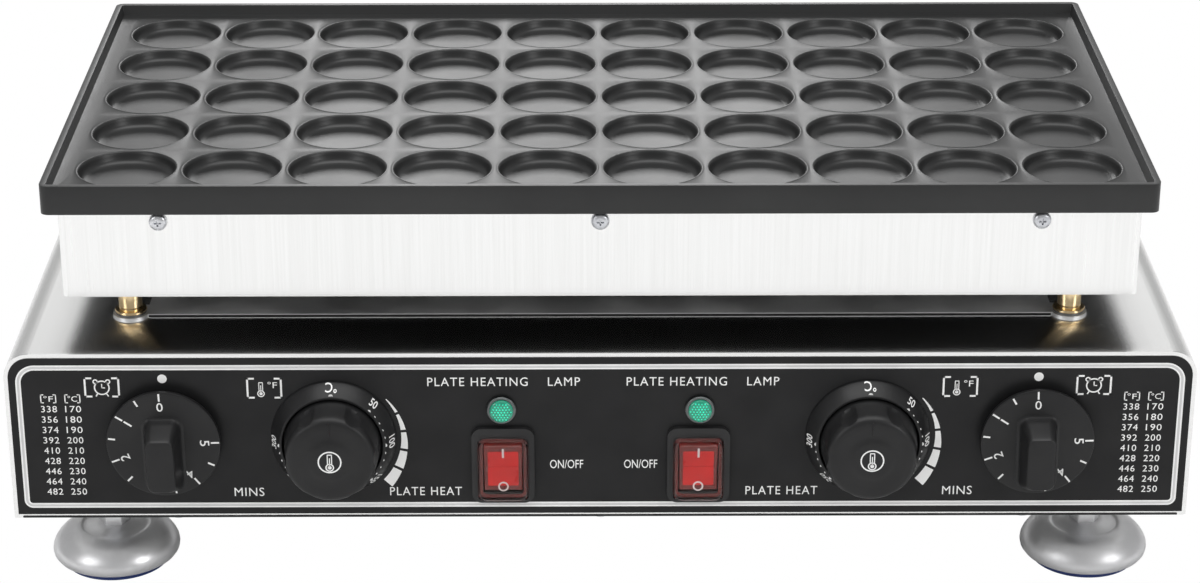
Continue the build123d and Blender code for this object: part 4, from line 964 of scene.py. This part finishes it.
def make_pan_head():
    """Domed screw head with a cross recess."""
    head = turned(
        "head_form",
        [(2.5, -11.0), (2.5, 0.0), (4.1, 0.0), (4.25, 0.25), (4.2, 1.1), (3.8, 1.8), (3.0, 2.3), (2.0, 2.55),
         (1.0, 2.6)],
        48,
    )
    arms = []
    for turn in (0, math.pi / 2):
        arm = block("arm", (4.4, 0.95, 2.6), (0, 0, 2.6))
        edit(arm)
        choose(arm, "faces", lambda c, f: f.normal.z < -0.9)
        bpy.ops.transform.resize(value=(0.55, 0.7, 1))
        leave_edit()
        arm.rotation_euler = (0, 0, turn)
        settle(arm)
        arms.append(arm)
    for arm in arms:
        cut(head, arm)
    return smooth(head, 30)


def make_stud(name):
    """Threaded stud of a foot: a core with one helix of thread round it."""
    core = turned("stud_core", [(5.8, 8.3), (6.0, 8.5), (6.0, 16.5), (4.35, 16.7), (4.35, 67.4), (3.8, 68.0)], 40)
    nothing_selected()
    bpy.ops.mesh.primitive_circle_add(vertices=3, radius=1.0 * MM)
    ridge = settle(fresh("thread"))
    for vertex, (out, up) in zip(ridge.data.vertices, ((4.3, -0.7), (5.0, 0.0), (4.3, 0.7))):
        vertex.co = (out * MM, 0, up * MM)
    take(ridge)
    climb = ridge.modifiers.new("thread", "SCREW")
    climb.axis = "Z"
    climb.screw_offset = 1.5 * MM
    climb.iterations = 26
    climb.steps = 20
    climb.render_steps = 20
    climb.use_smooth_shade = False
    bpy.ops.object.modifier_apply(modifier=climb.name)
    put(ridge, 0, 0, 26.6)
    outwards(ridge)
    return smooth(join([core, ridge], name), 30)


def carried_over():
    """Finishes for the solids that show as they are."""
    table = {
        STEEL_UPRIGHT: ["heater_box"],
        STEEL_DEPTHWISE: ["base_shell"],
        STEEL_ALONG: ["front_panel", "rear_panel", "bottom_plate", "element_clamps", "wire_ducts"],
        STEEL_SHIELD: ["heat_shield"],
        ZINC: ["clamp_screws", "pillar_nuts", "panel_screws"],
        ELEMENT: ["heating_element_left", "heating_element_right"],
        COPPER: ["sensor_left", "sensor_right"],
        FIBRE: ["insulation_blanket"],
        OVERLAY: ["panel_overlay"],
        PLASTIC_BLACK: ["cable_gland", "gland_nut", "terminal_block"],
        PAD_BLUE: ["foot_pad_" + corner for corner in CORNERS],
        DARK_RING: ["lamp_housing_" + side for side in SIDES],
    }
    for part in ("timer_body_", "timer_shaft_", "thermostat_body_", "thermostat_shaft_"):
        table[ZINC] += [part + side for side in SIDES]
    for material, names in table.items():
        for name in names:
            coat(cad[name], material)


def make_glow_ring(name):
    """Narrow dark-red ring under the edge of the cap: a painted reflection of the red rocker in that edge."""
    ring = rounded_plate(name, 23.0, 31.2, 4.0, 0.1, 6)
    edit(ring)
    choose(ring, "faces", lambda c, f: abs(f.normal.z) > 0.9)
    bpy.ops.mesh.inset(thickness=2.0 * MM, use_even_offset=True)
    bpy.ops.mesh.bridge_edge_loops()
    leave_edit()
    return outwards(ring)


def light_key(side, x):
    """Painted light round the rocker of one switch: a ring of painted reflection under the cap edge, two windows with
    a painted glow, and its two marks.
    """
    body = "switch_rocker_" + side
    # Painted reflection: a dark-red ring under the cap's edge stands for the rocker's red seen in it.
    ring = on_panel(make_glow_ring("switch_painted_reflection_" + side), x, SWITCH_Z - CAP_DROP, 1.02)
    fit(ring, ROCKER_RED, "machine", "red_plastic")
    # The two windows glow with painted light, brighter than the rocker's own red.
    windows = [on_key(rounded_plate("lit", 14.4, 9.6, 0.6, 0.1, 4), x, up, 0.02) for up in (4.9, -4.9)]
    fit(join(windows, "key_painted_glow_" + side), RED_PAINTED_GLOW, body, "red_plastic")
    on_mark = on_key(block("on_mark", (1.0, 5.8, 0.06), (0, 0, 0.03)), x, 8.7, 0.14)
    off_mark = on_key(spot("off_mark", (0, 0), 2.5, 1.7, 40), x, -10.2, 0.14)
    fit(join([on_mark, off_mark], "key_marks_" + side), PRINT_WHITE, body, "red_plastic")


def dress_controls():
    """Each control is modelled once and copied to both sides of the panel."""
    knob = make_timer_knob()
    marks = make_timer_marks()
    dial = make_dial()
    dial_marks = make_dial_marks()
    grip = make_thermostat_knob()
    sign_form = make_knob_sign()
    frame_form = make_switch_frame()
    lens = make_lens()
    studs = make_lens_studs()
    cap = make_cover()

    def copied(form, name, x, z, proud=0.0, roll=0.0):
        return on_panel(twin(form, name), x, z, proud, roll)

    for side, sign in SIDES.items():
        x, body = sign * TIMER_X, "timer_dial_" + side
        piece = copied(knob, "timer_grip_" + side, x, CONTROL_HEIGHT, 0, KNOB_TURN)
        fit(piece, KNOB_BLACK, body, "knob_plastic", "timer_knob_" + side)
        piece = copied(marks, "timer_marks_" + side, x, CONTROL_HEIGHT, 7.0, MARKS_TURN)
        fit(piece, PRINT_WHITE, body, "knob_plastic")

        x, body = sign * THERMOSTAT_X, "thermostat_grip_" + side
        piece = copied(dial, "dial_ring_" + side, x, CONTROL_HEIGHT)
        fit(piece, KNOB_BLACK, "machine", "knob_plastic", "thermostat_dial_" + side)
        piece = copied(dial_marks, "dial_marks_" + side, x, CONTROL_HEIGHT)
        fit(piece, PRINT_WHITE, "machine", "knob_plastic")
        piece = copied(grip, "thermostat_handle_" + side, x, CONTROL_HEIGHT, -0.07)
        fit(piece, KNOB_BLACK, body, "knob_plastic", "thermostat_knob_" + side)
        piece = copied(sign_form, "handle_sign_" + side, x, CONTROL_HEIGHT, 25.95)
        fit(piece, PRINT_WHITE, body, "knob_plastic")

        x = sign * LAMP_X
        piece = copied(lens, "lamp_glass_" + side, x, LAMP_Z, 0.6)
        fit(piece, GREEN_DEEP, "machine", "green_lens", "lamp_lens_" + side)
        # The studs' lighter green is a painted highlight on the lens.
        piece = copied(studs, "lamp_studs_" + side, x, LAMP_Z, 0.6)
        fit(piece, GREEN_STUD_PAINTED_HIGHLIGHT, "machine", "green_lens")

        x, body = sign * SWITCH_X, "switch_rocker_" + side
        fit(make_rocker("switch_key_" + side, x), ROCKER_RED, body, "red_plastic", "rocker_" + side)
        piece = copied(frame_form, "switch_frame_" + side, x, SWITCH_Z)
        fit(piece, PLASTIC_BLACK, "machine", "black_plastic", "switch_housing_" + side)
        light_key(side, x)
        piece = copied(cap, "switch_cap_" + side, x, SWITCH_Z - CAP_DROP, 1.0)
        fit(piece, CLEAR_CAP, "machine", "clear_cover", "switch_cover_" + side)
    for form in (knob, marks, dial, dial_marks, grip, sign_form, frame_form, lens, studs, cap):
        bpy.data.objects.remove(form)


def dress_feet():
    bell = make_bell()
    for corner, (x, y) in CORNERS.items():
        foot = put(twin(bell, "bell_" + corner), x, y, 0)
        fit(foot, STEEL_SATIN, "foot_" + corner, "bright_steel", "foot_bell_" + corner)
        stud = put(make_stud("screw_" + corner), x, y, 0)
        fit(stud, ZINC, "stud_" + corner, "zinc", "foot_stud_" + corner)
    bpy.data.objects.remove(bell)


def dress_pillars():
    pillar = make_pillar()
    posts = [put(twin(pillar, "post"), x, y, SHIELD_TOP) for x, y in PILLAR_SPOTS]
    bpy.data.objects.remove(pillar)
    fit(join(posts, "brass_posts"), BRASS, "machine", "brass", "brass_pillars")
    washer = turned("washer", [(3.4, 0.0), (7.1, 0.0), (7.25, 0.15), (7.25, 0.7), (7.1, 0.85), (3.4, 0.85)], 72)
    washers = [put(twin(washer, "washer"), x, y, SHIELD_TOP) for x, y in PILLAR_SPOTS]
    bpy.data.objects.remove(washer)
    fit(join(washers, "pillar_washers"), WASHER_GREY, "machine", "zinc")


def dress_seams():
    """Dark strips that paint the shadow at the edges of the heat shield and under the panel."""
    # Painted shadow: dark strips along the front and rear edges of the heat shield.
    painted_shadow_strips = [block("painted_shadow_strip", (428, 0.25, 0.6), (0, face * 117.1, 127.32)) for face in (-1, 1)]
    fit(join(painted_shadow_strips, "shield_edge_painted_shadow"), PAINTED_SHADOW_DARK, "machine", "steel")
    # Painted shadow: a dark strip under the panel's lower edge.
    edge = rounded_plate("panel_lower_painted_shadow", BASE_WIDTH - 8, 0.9, 0.4, 0.3, 4)
    fit(on_panel(edge, 0, BASE_BOTTOM + 0.55, -0.35), PAINTED_SHADOW_DARK, "machine", "steel")


def dress_box_screws():
    head = make_pan_head()
    heads = []
    for x in BOX_SCREW_X:
        for face in (-1, 1):
            heads.append(put(twin(head, "head"), x, face * BOX_FACE, BOX_SCREW_Z, (-face * math.pi / 2, 0, 0)))
    bpy.data.objects.remove(head)
    fit(join(heads, "box_screws"), ZINC, "machine", "zinc", "tray_screws")


# Studio

def make_studio():
    """Pale floor, even surroundings and six soft lamps."""
    nothing_selected()
    bpy.ops.mesh.primitive_plane_add(size=14, location=(0, 0, 0))
    floor = fresh("studio_floor")
    paper, tree, shader = finish("pale_floor", (0.9, 0.9, 0.9), 0.8)
    speck = noise(tree, where(tree), 3, 2)
    tint = shades(tree, speck, (0.3, (0.89, 0.89, 0.89)), (0.7, (0.91, 0.91, 0.91)))
    tree.links.new(tint, shader.inputs["Base Color"])
    seen = tree.nodes.new("ShaderNodeLightPath")
    bright = tree.nodes.new("ShaderNodeEmission")
    either = tree.nodes.new("ShaderNodeMixShader")
    tree.links.new(seen.outputs["Is Camera Ray"], either.inputs["Fac"])
    tree.links.new(shader.outputs["BSDF"], either.inputs[1])
    tree.links.new(bright.outputs["Emission"], either.inputs[2])
    tree.links.new(either.outputs["Shader"], tree.nodes["Material Output"].inputs["Surface"])
    coat(floor, paper)

    world = bpy.data.worlds.new("studio_world")
    bpy.context.scene.world = world
    world.use_nodes = True
    tree = world.node_tree
    tree.nodes.clear()
    out = tree.nodes.new("ShaderNodeOutputWorld")
    mix = tree.nodes.new("ShaderNodeMixShader")
    soft = tree.nodes.new("ShaderNodeBackground")
    shown = tree.nodes.new("ShaderNodeBackground")
    path = tree.nodes.new("ShaderNodeLightPath")
    soft.inputs["Color"].default_value = (0.8, 0.8, 0.8, 1)
    soft.inputs["Strength"].default_value = 0.6
    shown.inputs["Color"].default_value = (1, 1, 1, 1)
    shown.inputs["Strength"].default_value = 1.0
    tree.links.new(path.outputs["Is Camera Ray"], mix.inputs["Fac"])
    tree.links.new(soft.outputs[0], mix.inputs[1])
    tree.links.new(shown.outputs[0], mix.inputs[2])
    tree.links.new(mix.outputs[0], out.inputs["Surface"])

    def panel_light(name, place, aim, width, height, power):
        lamp = bpy.data.lights.new(name, "AREA")
        lamp.shape = "RECTANGLE"
        lamp.size = width
        lamp.size_y = height
        lamp.energy = power
        holder = bpy.data.objects.new(name, lamp)
        bpy.context.scene.collection.objects.link(holder)
        holder.location = place
        holder.rotation_mode = "QUATERNION"
        holder.rotation_quaternion = (Vector(aim) - Vector(place)).to_track_quat("-Z", "Y")
        return holder

    panel_light("left_light", (-1.55, -1.35, 1.0), (0, 0, 0.1), 0.7, 0.9, 7)
    panel_light("right_light", (1.55, -1.35, 1.0), (0, 0, 0.1), 0.7, 0.9, 8)
    panel_light("over_glow", (0, -0.2, 1.96), (0, 0, 0.1), 2.2, 1.4, 7)
    panel_light("back_glow", (0.05, 2.6, 1.4), (0, 0, 0.19), 2.0, 0.8, 3.3)
    over = panel_light("over_light", (0, -0.2, 1.9), (0, 0, 0.1), 2.2, 1.4, 20)
    behind = panel_light("back_light", (-0.06, 2.5, 1.35), (0, 0, 0.19), 0.9, 0.8, 11)
    # The two strong lamps pass by the brushed sheets that they would turn white
    for lamp, nodes in ((over, ["base_shell"]), (behind, ["base_shell", "rear_panel", "heater_box"])):
        spared = bpy.data.collections.new("spared_by_" + lamp.name)
        for node in nodes:
            spared.objects.link(cad[node])
        lamp.light_linking.receiver_collection = spared
        for member in spared.collection_objects:
            member.light_linking.link_state = "EXCLUDE"


def make_camera():
    """Lens and place fitted to the photograph."""
    view = bpy.data.cameras.new("camera")
    view.lens = 93.86
    view.sensor_width = 36
    view.clip_start = 0.05
    view.clip_end = 30
    holder = bpy.data.objects.new("camera", view)
    bpy.context.scene.collection.objects.link(holder)
    holder.location = (-0.0079, -1.4756, 0.72555)
    holder.rotation_euler = (math.radians(90 - 23.343), 0, math.radians(-0.329))
    bpy.context.scene.camera = holder


carried_over()
make_tray()
make_panel_line()
make_panel_marks()
dress_controls()
dress_feet()
dress_pillars()
dress_seams()
dress_box_screws()
make_studio()
make_camera()
leave_edit()
bpy.context.scene.view_settings.view_transform = "Standard"
